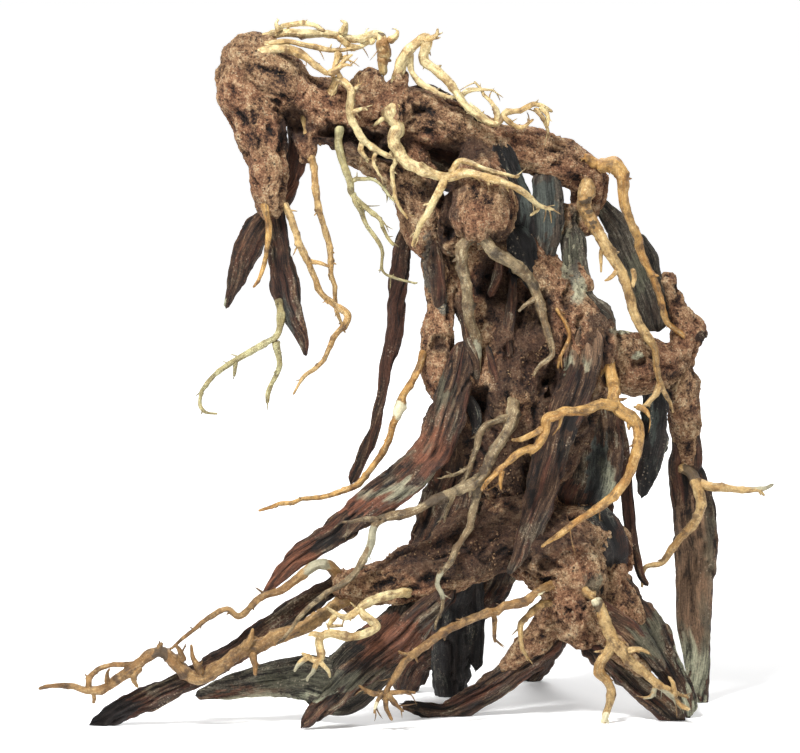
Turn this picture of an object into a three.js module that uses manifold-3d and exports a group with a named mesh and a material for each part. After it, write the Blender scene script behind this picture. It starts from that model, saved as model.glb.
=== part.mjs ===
// Aquarium bonsai driftwood: crusted limbs, dark wood strips and pale twigs fixed together
// into a leaning trunk whose crown arches over to the left and hangs down.
// Millimetres, +Z up, the front of the piece faces -Y, the origin is under the middle of it.

import * as THREE from "three";
import { mergeVertices } from "three/addons/utils/BufferGeometryUtils.js";
import Module from "manifold-3d";

const wasm = await Module();
wasm.setup();

// Every piece is drawn in a front view: [across, up, depth, radius], all in millimetres.
// Across and up lie in the picture plane of an eye that stands VIEW_DISTANCE away and looks
// VIEW_TILT degrees down. Depth is the true distance behind the plane y = 0, and the radius
// is half of the width that the view shows.
const VIEW_DISTANCE = 2200;
const VIEW_TILT = 6;
const VIEW_MIDDLE_UP = 174.75;
const VIEW_TARGET_HEIGHT = 170.15;

// The drawing's own zero lies this far from the middle of the piece's footprint.
const FOOTPRINT_X = 5.35;
const FOOTPRINT_Y = 20.57;

// Pieces that touch keep this gap, and the feet are cut flat at z = 0.
const JOINT_GAP = 0.36;
const FLOOR_DEPTH = 60;
const FLOOR_SIZE = 900;

// Section of each kind of piece: corners round it, rings for each drawn point,
// thickness as a share of the width, height of its lumps as a share of the radius,
// and how far its ends are rounded off.
const CRUST = { corners: 8, rings: 1, thickness: 0.92, lumps: 0.1, rounding: 0.5 };
const PLANK = { corners: 7, rings: 1, thickness: 0.42, lumps: 0.07, rounding: 0.2 };
const POLE = { corners: 7, rings: 1, thickness: 0.8, lumps: 0.08, rounding: 0.3 };
const TWIG = { corners: 5, rings: 1, thickness: 1, lumps: 0, rounding: 0.2 };
const SPUR = { corners: 3, rings: 1, thickness: 1, lumps: 0, rounding: 0.1 };

// Limbs under the rough crust, thickest first.
const crustLimbs = {
  trunk: [
    [[52, 279, 12, 8], [50, 256, 14, 10], [48, 236, 14, 11], [48, 218, 12, 12], [52, 198, 8, 15],
     [54, 175, 4, 17], [55, 155, 2, 17], [52, 135, 4, 17], [54, 110, 6, 18]],
  ],
  base: [
    [[38, 105, -6, 14], [55, 98, -4, 19], [72, 88, -6, 19], [86, 75, -10, 18], [89, 55, -14, 15],
     [89, 40, -16, 9]],
    [[72, 98, 2, 14], [92, 100, 6, 12], [105, 89, 6, 11], [109, 74, 2, 8]],
  ],
  arch: [
    [[-14, 308, 0, 15], [0, 309, 0, 12.5], [20, 302, 2, 10.5], [40, 294, 4, 10.5],
     [60, 287, 6, 11]],
    [[-16, 314, 0, 10], [-14, 329, 2, 7]],
  ],
  crown: [
    [[-86, 342, -4, 10], [-79, 335, -5, 14], [-66, 326, -5, 15], [-50, 315, -3, 13],
     [-36, 308, 0, 16], [-24, 303, 0, 15]],
  ],
  hanging_leg: [
    [[-79, 322, -5, 12], [-71, 307, -6, 12], [-67, 293, -7, 10], [-65, 280, -8, 8],
     [-65, 268, -8, 7.8], [-65, 259, -8, 6.5]],
  ],
  right_shoulder: [
    [[60, 288, 7, 10], [80, 282, 10, 12.5], [93, 274, 12, 10.5], [93, 260, 14, 8],
     [91, 244, 14, 7]],
  ],
  neck: [
    [[-29, 294, -2, 9], [-9, 283, -2, 10], [6, 267, 0, 10], [11, 250, 2, 10.5], [16, 235, 4, 8.5]],
  ],
  ball_knob: [
    [[42, 284, 0, 8], [41, 270, -12, 12], [41, 256, -14, 15.5], [39, 243, -9, 12]],
    [[31, 262, -12, 7], [25, 248, -11, 5.5], [25, 236, -6, 4.5]],
  ],
  trunk_ridge: [
    [[69, 229, 0, 8], [77, 215, -1, 12], [88, 198, 0, 17], [93, 182, 2, 17], [86, 165, 4, 17],
     [76, 145, 5, 17], [70, 122, 3, 14]],
  ],
  left_column: [
    [[16, 236, 2, 6], [19, 220, 0, 6.5], [20.5, 207, 0, 6.5], [17.5, 195, -2, 8.5],
     [20, 178, -2, 9.5], [30, 161, -1, 9.5], [42, 148, 0, 9]],
  ],
  left_base: [
    [[-34, 70, -34, 7], [-12, 70, -29, 11], [10, 75, -24, 12.5], [30, 82, -18, 13.5],
     [46, 90, -10, 12]],
  ],
  right_limb: [
    [[133, 227, 20, 3.5], [138, 211, 22, 5], [143, 196, 24, 8.5], [140, 182, 26, 7],
     [141, 165, 28, 7.5], [142, 147, 29, 7.5]],
    [[106, 182, 8, 11], [118, 178, 13, 13], [131, 180, 20, 10], [141, 184, 25, 6]],
  ],
};

// Flat weathered strips and roots of dark wood.
const woodStrips = {
  left_root: [
    [[32, 192, -9, 4], [28, 174, -13, 8], [23, 155, -17, 9.5], [16, 139, -20, 9],
     [3, 124, -24, 9.5], [-13, 112, -27, 8.5], [-31, 98, -30, 7], [-50, 85, -33, 5.5],
     [-62, 73, -36, 3], [-68, 66, -38, 1.2]],
  ],
  right_leg: [
    [[142, 152, 30, 6], [143, 138, 30, 8], [144, 123, 31, 10], [147, 105, 32, 11.5],
     [148, 90, 32, 11.5], [147, 73, 32, 10], [147, 53, 31, 9.5], [148, 36, 30, 7.5],
     [149, 20, 29, 6], [149, 8, 28, 5]],
  ],
  mid_plank: [
    [[94, 200, -12, 8], [91, 183, -14, 9.5], [87, 167, -15, 9.5], [80, 150, -15, 8.5],
     [75, 135, -16, 9.5], [71, 118, -18, 8.5], [66, 100, -23, 6.5], [60, 86, -26, 4],
     [54, 76, -28, 1.5]],
  ],
  charred_slab: [
    [[49, 291, -5, 5.5], [53, 278, -5, 6.5], [59, 262, 0, 7.5], [62, 243, 2, 8], [62, 222, 4, 7]],
  ],
  grey_slab: [
    [[73, 277, 2, 7], [74, 260, 0, 8], [74, 244, 0, 6.5], [72, 230, 2, 4]],
  ],
  outer_plank: [
    [[99, 262, 17, 3.5], [110, 248, 19, 7], [119, 232, 20, 10.5], [124, 215, 21, 10],
     [129, 198, 22, 6.5]],
  ],
  lichen_strip: [
    [[86, 247, 4, 6.5], [87, 230, 2, 6.5], [92, 213, 0, 5.5], [104, 200, 0, 7]],
  ],
  hanging_plate: [
    [[128, 172, 16, 5.5], [127, 158, 18, 7], [126, 145, 18, 7.5], [124, 130, 17, 6],
     [121, 115, 16, 2.5]],
  ],
  fluted_slab: [
    [[33, 148, -5, 8], [29, 128, -5, 12], [24, 110, -9, 14], [16, 92, -15, 13], [8, 80, -20, 9]],
  ],
  hollow_slab: [
    [[98, 168, 9, 11], [99, 145, 9, 14], [96, 124, 7, 16], [90, 104, 3, 14]],
  ],
  inner_strip: [
    [[-24, 298, 7, 8], [0, 288, 9, 10], [24, 278, 11, 12], [46, 268, 8, 11], [58, 256, 10, 7]],
  ],
  thin_strip: [
    [[109, 156, 12, 2.6], [112, 134, 18, 3], [114, 113, 18, 3.3], [116, 96, 16, 3],
     [120, 77, 10, 2.2], [124, 70, 8, 1]],
  ],
  back_leaf: [
    [[-52, 306, 5, 4.5], [-52, 288, 5, 5], [-54, 273, 5, 5.5], [-61, 261, 5, 6], [-70, 250, 4, 6.5],
     [-77, 238, 3, 6.5], [-82, 223, 2, 5], [-87, 209, 2, 1.5]],
  ],
  hanging_strip: [
    [[-62, 261, -4, 4], [-61, 246, -6, 5], [-59.5, 232, -7, 6.5], [-57, 217, -8, 7.5],
     [-53, 204, -8, 5], [-48.5, 193, -9, 3], [-47, 185, -9, 1]],
  ],
  long_strip: [
    [[6, 253, 9, 4], [1, 237, 11, 4.6], [-2, 209, 12, 4.8], [-3, 195, 11, 4.2], [-7, 180, 9, 3.2],
     [-9.5, 164, 7, 2.6], [-13, 148, 5, 2.6], [-18.5, 135, 3, 3.7], [-24, 122, 2, 2.8]],
  ],
  red_strip: [
    [[26, 68, -30, 7], [6, 51, -38, 7], [-10, 36, -43, 7.5], [-25, 23, -46, 7.5],
     [-39, 10, -48, 5.5], [-48, 0, -48, 3]],
  ],
  black_tip_strip: [
    [[-26, 75, -27, 5], [-47, 61, -31, 6], [-65, 49, -33, 6.5], [-83, 37, -35, 6.5],
     [-100, 26, -36, 6.5], [-118, 18, -37, 6.5], [-135, 10, -37, 7], [-147, 3, -36, 5],
     [-154, 0, -36, 3]],
  ],
  grey_plank: [
    [[-102, 15, -24, 2.5], [-86, 19, -25, 6], [-66, 23, -27, 8.5], [-47, 24, -29, 12],
     [-30, 21, -31, 16], [-14, 35, -31, 15], [4, 52, -30, 12], [14, 68, -26, 8]],
  ],
  bottom_strip: [
    [[1, 11, -18, 2], [12, 8.5, -16, 4.5], [23, 7, -13, 5.5], [35, 12, -11, 6], [46, 20, -10, 7],
     [56, 27, -10, 7], [68, 36, -9, 8], [80, 44, -9, 9]],
  ],
  right_base_upper: [
    [[94, 86, 0, 10], [108, 68, -4, 10], [120, 52, -8, 9.5], [131, 36, -12, 8.5], [140, 19, -15, 7],
     [144, 5, -16, 6]],
  ],
  right_base_lower: [
    [[92, 48, -16, 8.5], [104, 37, -18, 8.5], [117, 24, -21, 8], [130, 12, -23, 7],
     [139, 3, -24, 6]],
  ],
};

// Upright back pieces with a thicker section.
const backPosts = {
  fluted_column: [
    [[52, 200, 26, 5], [48, 165, 24, 8], [42, 125, 25, 9.5], [33, 88, 26, 9.5], [28, 63, 32, 9.5],
     [26, 43, 40, 10], [25, 28, 46, 10], [25, 12, 49, 9]],
    [[36, 90, 24, 6], [37, 66, 30, 5], [38, 48, 38, 4.5], [38, 30, 43, 4]],
  ],
  rear_root: [
    [[84, 112, 14, 12], [88, 88, 26, 11], [86, 66, 46, 9.5], [78, 48, 66, 8.5], [70, 34, 84, 7.5],
     [64, 23, 95, 6.5]],
  ],
  back_root: [
    [[82, 190, 22, 5], [78, 160, 25, 8], [70, 125, 27, 11], [56, 95, 30, 12], [40, 66, 40, 12],
     [20, 46, 50, 10], [8, 31, 57, 8.5], [1, 17, 61, 7.5]],
  ],
};

// Pale branching twigs, the main stem first and its side shoots after it.
const twigs = {
  crown_top_twig: [
    [[-70, 343, -7, 3], [-58, 346.5, -8, 3], [-47, 347, -8, 3], [-34, 346, -5, 3],
     [-21.5, 343.5, -2, 3], [-11, 346, 0, 4], [-8, 338, 0, 6.5], [-9, 328, 1, 4]],
    [[-61.5, 345.5, -8, 1.8], [-57, 351, -8, 2], [-43, 351, -7, 2], [-37, 346.5, -6, 1.8]],
    [[-31.5, 345, -6, 2], [-22, 339.5, -4, 2], [-12.5, 343, 0, 2]],
    [[-27.5, 345, -4, 1.7], [-26.5, 351, -4, 1.4], [-29.5, 353, -4, 1]],
  ],
  crown_front_twig: [
    [[-72, 337, -15, 3], [-58, 338, -18, 3], [-49, 335.5, -18, 3], [-42, 331, -18, 2.8],
     [-35.5, 325.5, -16, 2.2]],
    [[-69, 340, -14, 1.8], [-57, 342.5, -15, 2], [-45, 340, -15, 2], [-31, 338, -13, 2],
     [-22, 338, -8, 1.6]],
    [[-31.5, 337, -13, 2], [-31.5, 329.5, -17, 2], [-28, 322, -17, 1.7]],
    [[-31.5, 333, -15, 1.4], [-23.5, 335.5, -13, 0.9]],
  ],
  looping_twig: [
    [[-35, 311, -10, 2.2], [-32, 324, -15, 2.2], [-24, 318, -19, 2.2], [-25, 306, -19, 2.2],
     [-19, 294, -17, 2.2], [-11, 288.5, -15, 2], [-3, 283.5, -14, 1.7], [-4.5, 277, -14, 1.5],
     [-1, 261, -13, 1.3], [4, 253.5, -12, 0.9]],
    [[-18.5, 293, -16, 1.6], [-19.5, 287.5, -16, 1.4], [-16, 281.5, -15, 0.9]],
    [[-23, 318, -19, 1.4], [-20, 321, -19, 1]],
  ],
  drooping_twig: [
    [[-30.5, 300, -10, 2.2], [-30, 289, -13, 2.2], [-24.5, 272.5, -14, 2], [-23, 266, -14, 1.8],
     [-11.5, 254, -14, 1.5], [-3, 240, -13, 1.1]],
    [[-23.5, 267, -14, 1.6], [-18.5, 254, -14, 1.4], [-10, 240, -14, 1.2], [-7.5, 226, -13, 1],
     [9, 221.5, -13, 0.8]],
    [[-24.5, 272.5, -14, 1.3], [-13, 273, -14, 1.1], [-2.5, 262, -15, 0.8]],
  ],
  straight_twig: [
    [[-48, 306, -6, 2.8], [-45, 286, -9, 2.4], [-40, 258.5, -10, 2.3], [-34.5, 233, -9, 2.2],
     [-32, 209, -4, 1.8], [-28.5, 197.5, -2, 1.2]],
  ],
  forked_twig: [
    [[-58, 262, -9, 2.2], [-53.5, 250, -11, 2.2], [-46, 233, -12, 2.2], [-40, 217, -12, 2],
     [-34, 211.5, -12, 2], [-26, 205, -12, 2.7], [-32, 195, -12, 2], [-40, 180.5, -12, 1.8],
     [-48, 174.5, -12, 1.6], [-53.5, 165.5, -12, 0.9]],
    [[-46, 233, -12, 1.5], [-41, 232, -13, 1.4], [-35, 229.5, -14, 1]],
  ],
  short_hanging_twig: [
    [[-68, 262, -13, 2.4], [-66, 246, -13, 2.2], [-69, 229.5, -13, 1.8], [-73.5, 219, -13, 1]],
  ],
  trailing_twig: [
    [[-60, 214, -9, 2.4], [-61, 197, -10, 2.3], [-69, 191.5, -11, 2.1], [-83, 182, -12, 2],
     [-96, 172, -12, 1.7], [-100.5, 161.5, -12, 1.5], [-98, 156.5, -12, 1.4], [-91, 156, -12, 0.9]],
    [[-62, 193, -10, 2.2], [-60, 180.5, -8, 1.9], [-65.5, 168.5, -8, 1.8], [-66.5, 161, -8, 1.5]],
    [[-82, 183, -12, 1.6], [-83, 174.5, -12, 1.1]],
  ],
  top_right_twig: [
    [[-2, 317, -4, 3.4], [-1, 327, -6, 3.6], [4, 336, -8, 3.5], [13, 344, -9, 2.9],
     [13, 334, -10, 3], [22.5, 322.5, -11, 2.9], [34, 309.5, -12, 2.7], [46, 302, -12, 2.6],
     [53, 306.5, -10, 2.4], [67.5, 310, -7, 2.2], [76.5, 307, -4, 1.3]],
    [[67, 309, -7, 1.7], [71, 304, -6, 1.6], [74.5, 296.5, -5, 1.1]],
    [[51, 305, -11, 1.7], [60, 299.5, -10, 1.5], [67, 303.5, -8, 1.1]],
    [[48.5, 302, -11, 1.8], [47.5, 308.5, -11, 1.7], [37, 322.5, -9, 0.9]],
    [[29, 315, -11, 1.8], [36, 318, -11, 1.5], [47, 318, -10, 0.9]],
    [[5, 337, -6, 2], [7, 326, -6, 2], [18, 316.5, -9, 1.9], [28, 314.5, -11, 1.6]],
  ],
  front_twig: [
    [[-1.5, 311, -11, 4.6], [-4.5, 306, -15, 4.4], [-1.5, 299.5, -16, 4.2], [-3, 293, -16, 4],
     [2, 283, -17, 3.6], [14, 277, -20, 3.5], [23, 274.5, -22, 3.4], [36.5, 276, -28, 3],
     [51, 272, -30, 2.6], [63, 266, -27, 2.2], [69.5, 259, -22, 1.6], [65, 255, -22, 1]],
    [[66, 263, -25, 1.6], [71, 260, -22, 1.4], [77.5, 258, -18, 0.9]],
    [[25, 276, -22, 2], [31, 283, -24, 2], [47.5, 276.5, -28, 1.7], [60, 275, -26, 1]],
    [[22.5, 274, -22, 2.6], [16, 262, -22, 2.4], [9, 249, -19, 2], [6, 239.5, -16, 1.1]],
  ],
  grey_fork_twig: [
    [[42, 249, -21, 3], [31, 238, -23, 3.4], [32, 227, -19, 3.5], [34.5, 208, -15, 3.6],
     [38, 190, -10, 3.4], [39, 175, -8, 1.6]],
    [[40, 247, -23, 3], [47.5, 237, -26, 3.5], [60, 228, -20, 3.5], [66, 219, -17, 3.2],
     [71.5, 203.5, -17, 2.6], [76, 187, -22, 2.2], [69.5, 181, -22, 1.7], [66.5, 175, -21, 1.2]],
    [[68, 214, -17, 1.6], [59, 207, -16, 1]],
  ],
  orange_twig: [
    [[98, 280, 3, 3.6], [107, 280, 1, 4.6], [111, 272, 1, 3.6], [113, 262, 3, 3],
     [121, 238, 8, 2.7], [129, 218, 11, 2.5], [134, 203, 14, 2.4], [143, 194, 17, 2.3]],
  ],
  shoulder_twig: [
    [[94, 274, -1, 4.4], [92, 260, -4, 4.5], [99, 248, -5, 3.8], [109, 229.5, -4, 3.4],
     [116.5, 211, -2, 3.2], [120, 201, -2, 3.2], [127, 187, -3, 2.8], [131, 171, 1, 2.3],
     [136.5, 156.5, 12, 1]],
    [[130.5, 172, 1, 2], [124, 161, -2, 1.7], [116.5, 159.5, -4, 1]],
    [[103, 241, -2, 1.8], [100.5, 236, -4, 1.5], [100.5, 226.5, -5, 0.9]],
  ],
  yellow_twig: [
    [[12, 188, -8, 2.3], [7.5, 176.5, -12, 2.2], [1.5, 166, -13, 2.4], [0, 159, -13, 4.2],
     [-2, 152, -13, 2.4], [-10.5, 134.5, -13, 2.2], [-26, 118, -16, 2.2], [-44.5, 113.5, -17, 2],
     [-61, 110.5, -17, 1.9], [-71, 107.5, -17, 1.1]],
  ],
  long_grey_arm: [
    [[57, 164, -12, 3.9], [56, 158, -18, 3.8], [54.5, 149, -24, 3.6], [45.5, 133.5, -32, 3.4],
     [38.5, 123, -35, 3.4], [19.5, 114.5, -37, 3.2], [3, 106.5, -39, 3], [-11, 102, -40, 2.8],
     [-16.5, 87.5, -41, 2.6], [-26, 73, -43, 2.3], [-44, 60, -47, 2], [-62, 40.5, -49, 1]],
    [[-10, 102, -40, 2], [-18, 103.5, -40, 1.7], [-29.5, 102, -40, 1]],
    [[55, 154, -21, 2.3], [43, 150.5, -24, 2.2], [37.5, 138, -27, 2], [33.5, 124, -29, 1.9],
     [27, 114.5, -31, 1.7], [22, 101.5, -31, 1]],
    [[35, 129, -28, 1.4], [21.5, 124, -29, 0.9]],
    [[40, 124, -34, 2.6], [38, 114, -34, 2.5], [33.5, 98.5, -35, 2.4], [26, 83.5, -38, 2.1],
     [19, 72, -41, 1.8], [21, 63, -43, 1.6], [17.5, 48, -45, 1]],
  ],
  yellow_branch: [
    [[103, 182, -4, 3.4], [106, 172, -14, 3.4], [107, 165, -20, 3.4], [110, 158, -24, 3.6],
     [118, 149, -26, 3.4], [115.5, 129, -27, 3.2], [109, 117, -28, 3.1], [96, 107, -30, 2.7],
     [77, 94.5, -33, 2], [70.5, 89.5, -34, 1.2]],
    [[109, 160, -24, 3], [99.5, 160, -29, 3], [87, 157.5, -32, 2.9], [73.5, 155, -34, 2.8],
     [72, 147, -34, 2.6], [68, 139.5, -34, 2.5], [59.5, 136, -35, 2.4], [46, 123, -38, 2],
     [40.5, 117.5, -41, 1.2]],
    [[72, 149, -34, 2], [61.5, 143.5, -35, 1.7], [55.5, 143, -35, 1.1]],
    [[81, 156, -33, 1.5], [79.5, 149, -34, 0.9]],
    [[51, 128, -37, 1.6], [50.5, 118, -37, 0.9]],
  ],
  right_twig: [
    [[140, 130, 28, 3.4], [147, 124, 22, 3.6], [150, 109, 17, 3.2], [146, 99, 17, 3.1],
     [136, 90, 17, 2.8], [131, 82, 17, 2.5], [122.5, 79, 17, 2], [121, 69, 17, 1]],
    [[147, 123, 21, 3], [157.5, 119, 18, 2.8], [170, 118.5, 17, 2.5], [181, 118.5, 17, 2.2],
     [187, 121, 17, 1.4]],
    [[178, 118, 17, 1.7], [182.5, 115, 17, 1.1]],
  ],
  long_left_twig: [
    [[-24, 64, -33, 3.4], [-36, 57, -38, 3.6], [-48, 50, -40, 3.9], [-68, 42, -42, 4],
     [-87.5, 32, -45, 4], [-101, 24, -45, 3.9], [-120, 37, -46, 4], [-136.5, 25, -46, 3.4],
     [-153.5, 17, -46, 3], [-166, 20.5, -46, 2.4], [-181, 18.5, -46, 1.2]],
    [[-156, 18, -46, 1.8], [-152, 28, -46, 1.7], [-137.5, 31, -46, 1.5], [-126, 33, -46, 1.6]],
    [[-120, 36, -46, 2.5], [-119, 42, -46, 1.4]],
    [[-99, 25, -45, 2], [-103, 34, -45, 1.6], [-104.5, 41, -45, 1]],
    [[-153.5, 18, -46, 1.7], [-153.5, 11, -46, 1]],
  ],
  left_bent_twig: [
    [[-30, 74, -32, 3.2], [-36, 80, -36, 3.5], [-44, 80, -38, 3.2], [-59, 69, -41, 2.4],
     [-71, 63.5, -42, 2.4], [-80, 55.5, -43, 2.3], [-87, 58.5, -43, 2.2], [-100, 50, -43, 2],
     [-115.5, 38, -43, 1.1]],
  ],
  cream_twig: [
    [[5, 67, -33, 2.8], [0, 66, -42, 2.8], [-16, 61.5, -49, 2.8], [-20, 58, -50, 2.8],
     [-11, 50, -51, 2.8], [-18.5, 45.5, -53, 2.8], [-39, 45, -54, 3.5], [-40.5, 33.5, -55, 2.7],
     [-49.5, 36.5, -55, 1.5]],
    [[-20, 58.5, -50, 2], [-28, 55, -51, 2], [-37, 59.5, -51, 1.2]],
    [[-32, 56, -51, 1.7], [-35.5, 50, -51, 1.5], [-28, 50, -51, 1.1]],
    [[-41, 34, -55, 2], [-46.5, 22, -55, 1]],
  ],
  long_front_twig: [
    [[80, 71, -20, 2.6], [70, 68, -28, 2.6], [60, 62, -34, 2.6], [34.5, 52.5, -43, 2.6],
     [14, 42, -50, 2.5], [2.5, 31.5, -52, 2.4], [-7, 17.5, -53, 2.2], [-4, 2.5, -53, 1.2]],
    [[-7, 17, -53, 1.8], [-14.5, 16, -53, 1.6], [-21, 20.5, -53, 1]],
    [[-7, 16.5, -53, 1.7], [8, 16.5, -53, 1]],
    [[46.5, 57, -38, 1.7], [47.5, 41.5, -39, 0.9]],
  ],
  white_tip_twig: [
    [[80, 62, -18, 2], [71, 61, -26, 2], [66, 57, -29, 2], [59.5, 51, -30, 1.8], [61, 40, -31, 1.6],
     [64, 32.5, -31, 1]],
  ],
  bottom_right_twig: [
    [[97, 64, -24, 2.7], [101.5, 53.5, -29, 3.4], [107.5, 42, -32, 3.6], [118, 30.5, -33, 2.9],
     [129, 20.5, -33, 2.7], [145, 8, -32, 1.4]],
    [[107, 43, -31, 3], [99.5, 29, -31, 3.1], [105.5, 17.5, -31, 2.8], [101.5, 0, -30, 2.4]],
    [[128, 21, -33, 1.8], [126, 15, -33, 1.6], [121.5, 13.5, -33, 1.1]],
    [[131, 19.5, -33, 1.7], [144.5, 14, -32, 0.9]],
  ],
};

// Colours and finishes.
const finishes = {
  crust: { color: 0x8c7258, roughness: 0.95 },
  redWood: { color: 0x5c4438, roughness: 0.8 },
  greyWood: { color: 0x6e6a5c, roughness: 0.85 },
  charredWood: { color: 0x2b2826, roughness: 0.6 },
  orangeTwig: { color: 0xc39a5c, roughness: 0.7 },
  creamTwig: { color: 0xcdb988, roughness: 0.7 },
  greyTwig: { color: 0x8a7a60, roughness: 0.8 },
};
const finishOf = {
  grey_slab: "greyWood",
  outer_plank: "greyWood",
  lichen_strip: "greyWood",
  grey_plank: "greyWood",
  charred_slab: "charredWood",
  hanging_plate: "charredWood",
  fluted_column: "charredWood",
  orange_twig: "orangeTwig",
  straight_twig: "orangeTwig",
  short_hanging_twig: "orangeTwig",
  shoulder_twig: "orangeTwig",
  yellow_twig: "orangeTwig",
  yellow_branch: "orangeTwig",
  long_left_twig: "orangeTwig",
  left_bent_twig: "orangeTwig",
  grey_fork_twig: "greyTwig",
  long_grey_arm: "greyTwig",
  long_front_twig: "greyTwig",
  bottom_right_twig: "greyTwig",
};

const tilt = THREE.MathUtils.degToRad(VIEW_TILT);
const eyeBack = VIEW_DISTANCE * Math.cos(tilt);
const eyeUp = VIEW_DISTANCE * Math.sin(tilt);

// Puts a point of the front view at its true place.
function placed([across, up, depth]) {
  const rise = up - VIEW_MIDDLE_UP;
  const reach = (depth + eyeBack) / (eyeBack + rise * Math.sin(tilt));
  const height = VIEW_TARGET_HEIGHT + eyeUp + reach * (rise * Math.cos(tilt) - eyeUp);
  return new THREE.Vector3(reach * across - FOOTPRINT_X, depth - FOOTPRINT_Y, height);
}

// Radius of a drawn stroke at the share t of its way.
function radiusAt(stroke, t) {
  const spot = t * (stroke.length - 1);
  const before = Math.min(Math.floor(spot), stroke.length - 2);
  return THREE.MathUtils.lerp(stroke[before][3], stroke[before + 1][3], spot - before);
}

// A closed cylinder bent along a stroke; growth makes the slightly larger cutting tool.
function bentSolid(stroke, section, growth) {
  const path = new THREE.CatmullRomCurve3(stroke.map(placed), false, "catmullrom", 0.5);
  const rings = Math.max(2, Math.round((stroke.length - 1) * section.rings));
  const geometry = new THREE.CylinderGeometry(1, 1, 1, section.corners, rings);
  const depthAxis = new THREE.Vector3(0, 1, 0);
  let side = new THREE.Vector3().crossVectors(path.getTangent(0), depthAxis).normalize();
  const frames = [];
  for (let ring = 0; ring <= rings; ring++) {
    const t = ring / rings;
    const along = path.getTangent(t);
    const flatSide = new THREE.Vector3().crossVectors(along, depthAxis);
    const round = section.thickness > 0.9 || flatSide.length() < 0.35;
    side = (round ? side.clone() : flatSide).projectOnPlane(along).normalize();
    const face = new THREE.Vector3().crossVectors(along, side).normalize();
    const end = ring === 0 || ring === rings;
    const size = radiusAt(stroke, t) * (end ? 1 - section.rounding * 0.5 : 1);
    const push = (end ? size * section.rounding + growth : 0) * (ring === 0 ? -1 : 1);
    const centre = path.getPoint(t).addScaledVector(along, end ? push * 0.5 : 0);
    frames.push({ centre, along, side, face, size, push });
  }
  const position = geometry.attributes.position;
  for (let i = 0; i < position.count; i++) {
    const x = position.getX(i);
    const z = position.getZ(i);
    const ring = Math.round((0.5 - position.getY(i)) * rings);
    const frame = frames[ring];
    const angle = Math.atan2(z, x);
    const middle = Math.hypot(x, z) < 0.5;
    const wave = Math.sin(3 * angle + 2.3 * ring + stroke.length);
    const ripple = Math.sin(5 * angle - 1.7 * ring);
    const lump = 1 + section.lumps * (wave + 0.6 * ripple);
    const width = middle ? 0 : frame.size * lump + growth;
    const depth = middle ? 0 : frame.size * section.thickness * lump + growth;
    const point = frame.centre.clone()
      .addScaledVector(frame.side, width * Math.cos(angle))
      .addScaledVector(frame.face, depth * Math.sin(angle))
      .addScaledVector(frame.along, middle ? frame.push * 0.5 : 0);
    position.setXYZ(i, point.x, point.y, point.z);
  }
  return solidOf(geometry);
}

// Turns a closed three.js geometry into a solid that can be joined and cut.
function solidOf(geometry) {
  geometry.deleteAttribute("normal");
  geometry.deleteAttribute("uv");
  const merged = mergeVertices(geometry, 1e-5);
  const mesh = new wasm.Mesh({
    numProp: 3,
    vertProperties: Float32Array.from(merged.attributes.position.array),
    triVerts: Uint32Array.from(merged.index.array),
  });
  return new wasm.Manifold(mesh);
}

// Joins all strokes of a piece; side shoots have the lighter section.
function joined(strokes, section, growth) {
  const shoot = section === TWIG ? SPUR : section;
  return strokes
    .map((stroke, order) => bentSolid(stroke, order ? shoot : section, growth))
    .reduce((whole, stroke) => whole.add(stroke));
}

function largest(solid) {
  const parts = solid.decompose();
  return parts.reduce((best, part) => (part.volume() > best.volume() ? part : best));
}

function apart(a, b) {
  const one = a.boundingBox();
  const two = b.boundingBox();
  return [0, 1, 2].some((axis) => one.min[axis] > two.max[axis] || two.min[axis] > one.max[axis]);
}

function geometryOf(solid) {
  const { vertProperties, triVerts } = solid.getMesh();
  const geometry = new THREE.BufferGeometry();
  geometry.setAttribute("position", new THREE.BufferAttribute(Float32Array.from(vertProperties), 3));
  geometry.setIndex(new THREE.BufferAttribute(Uint32Array.from(triVerts), 1));
  geometry.computeVertexNormals();
  return geometry;
}

const underFloor = solidOf(
  new THREE.BoxGeometry(FLOOR_SIZE, FLOOR_SIZE, FLOOR_DEPTH).translate(0, 0, -FLOOR_DEPTH / 2),
);

// Limbs come first, and each later piece is cut back to leave the gap to all before it.
const group = new THREE.Group();
const cutters = [];
const families = [
  [crustLimbs, CRUST, "crust"],
  [woodStrips, PLANK, "redWood"],
  [backPosts, POLE, "redWood"],
  [twigs, TWIG, "creamTwig"],
];
for (const [pieces, section, finish] of families) {
  for (const [name, strokes] of Object.entries(pieces)) {
    let solid = joined(strokes, section, 0).subtract(underFloor);
    for (const cutter of cutters) {
      if (!apart(solid, cutter)) solid = solid.subtract(cutter);
    }
    const look = { metalness: 0, ...finishes[finishOf[name] ?? finish] };
    const mesh = new THREE.Mesh(geometryOf(largest(solid)), new THREE.MeshStandardMaterial(look));
    mesh.name = name;
    group.add(mesh);
    cutters.push(joined(strokes, section, JOINT_GAP));
  }
}

export default group;
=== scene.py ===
"""Aquarium bonsai driftwood: crusted limbs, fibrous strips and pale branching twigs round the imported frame."""
import math

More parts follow.
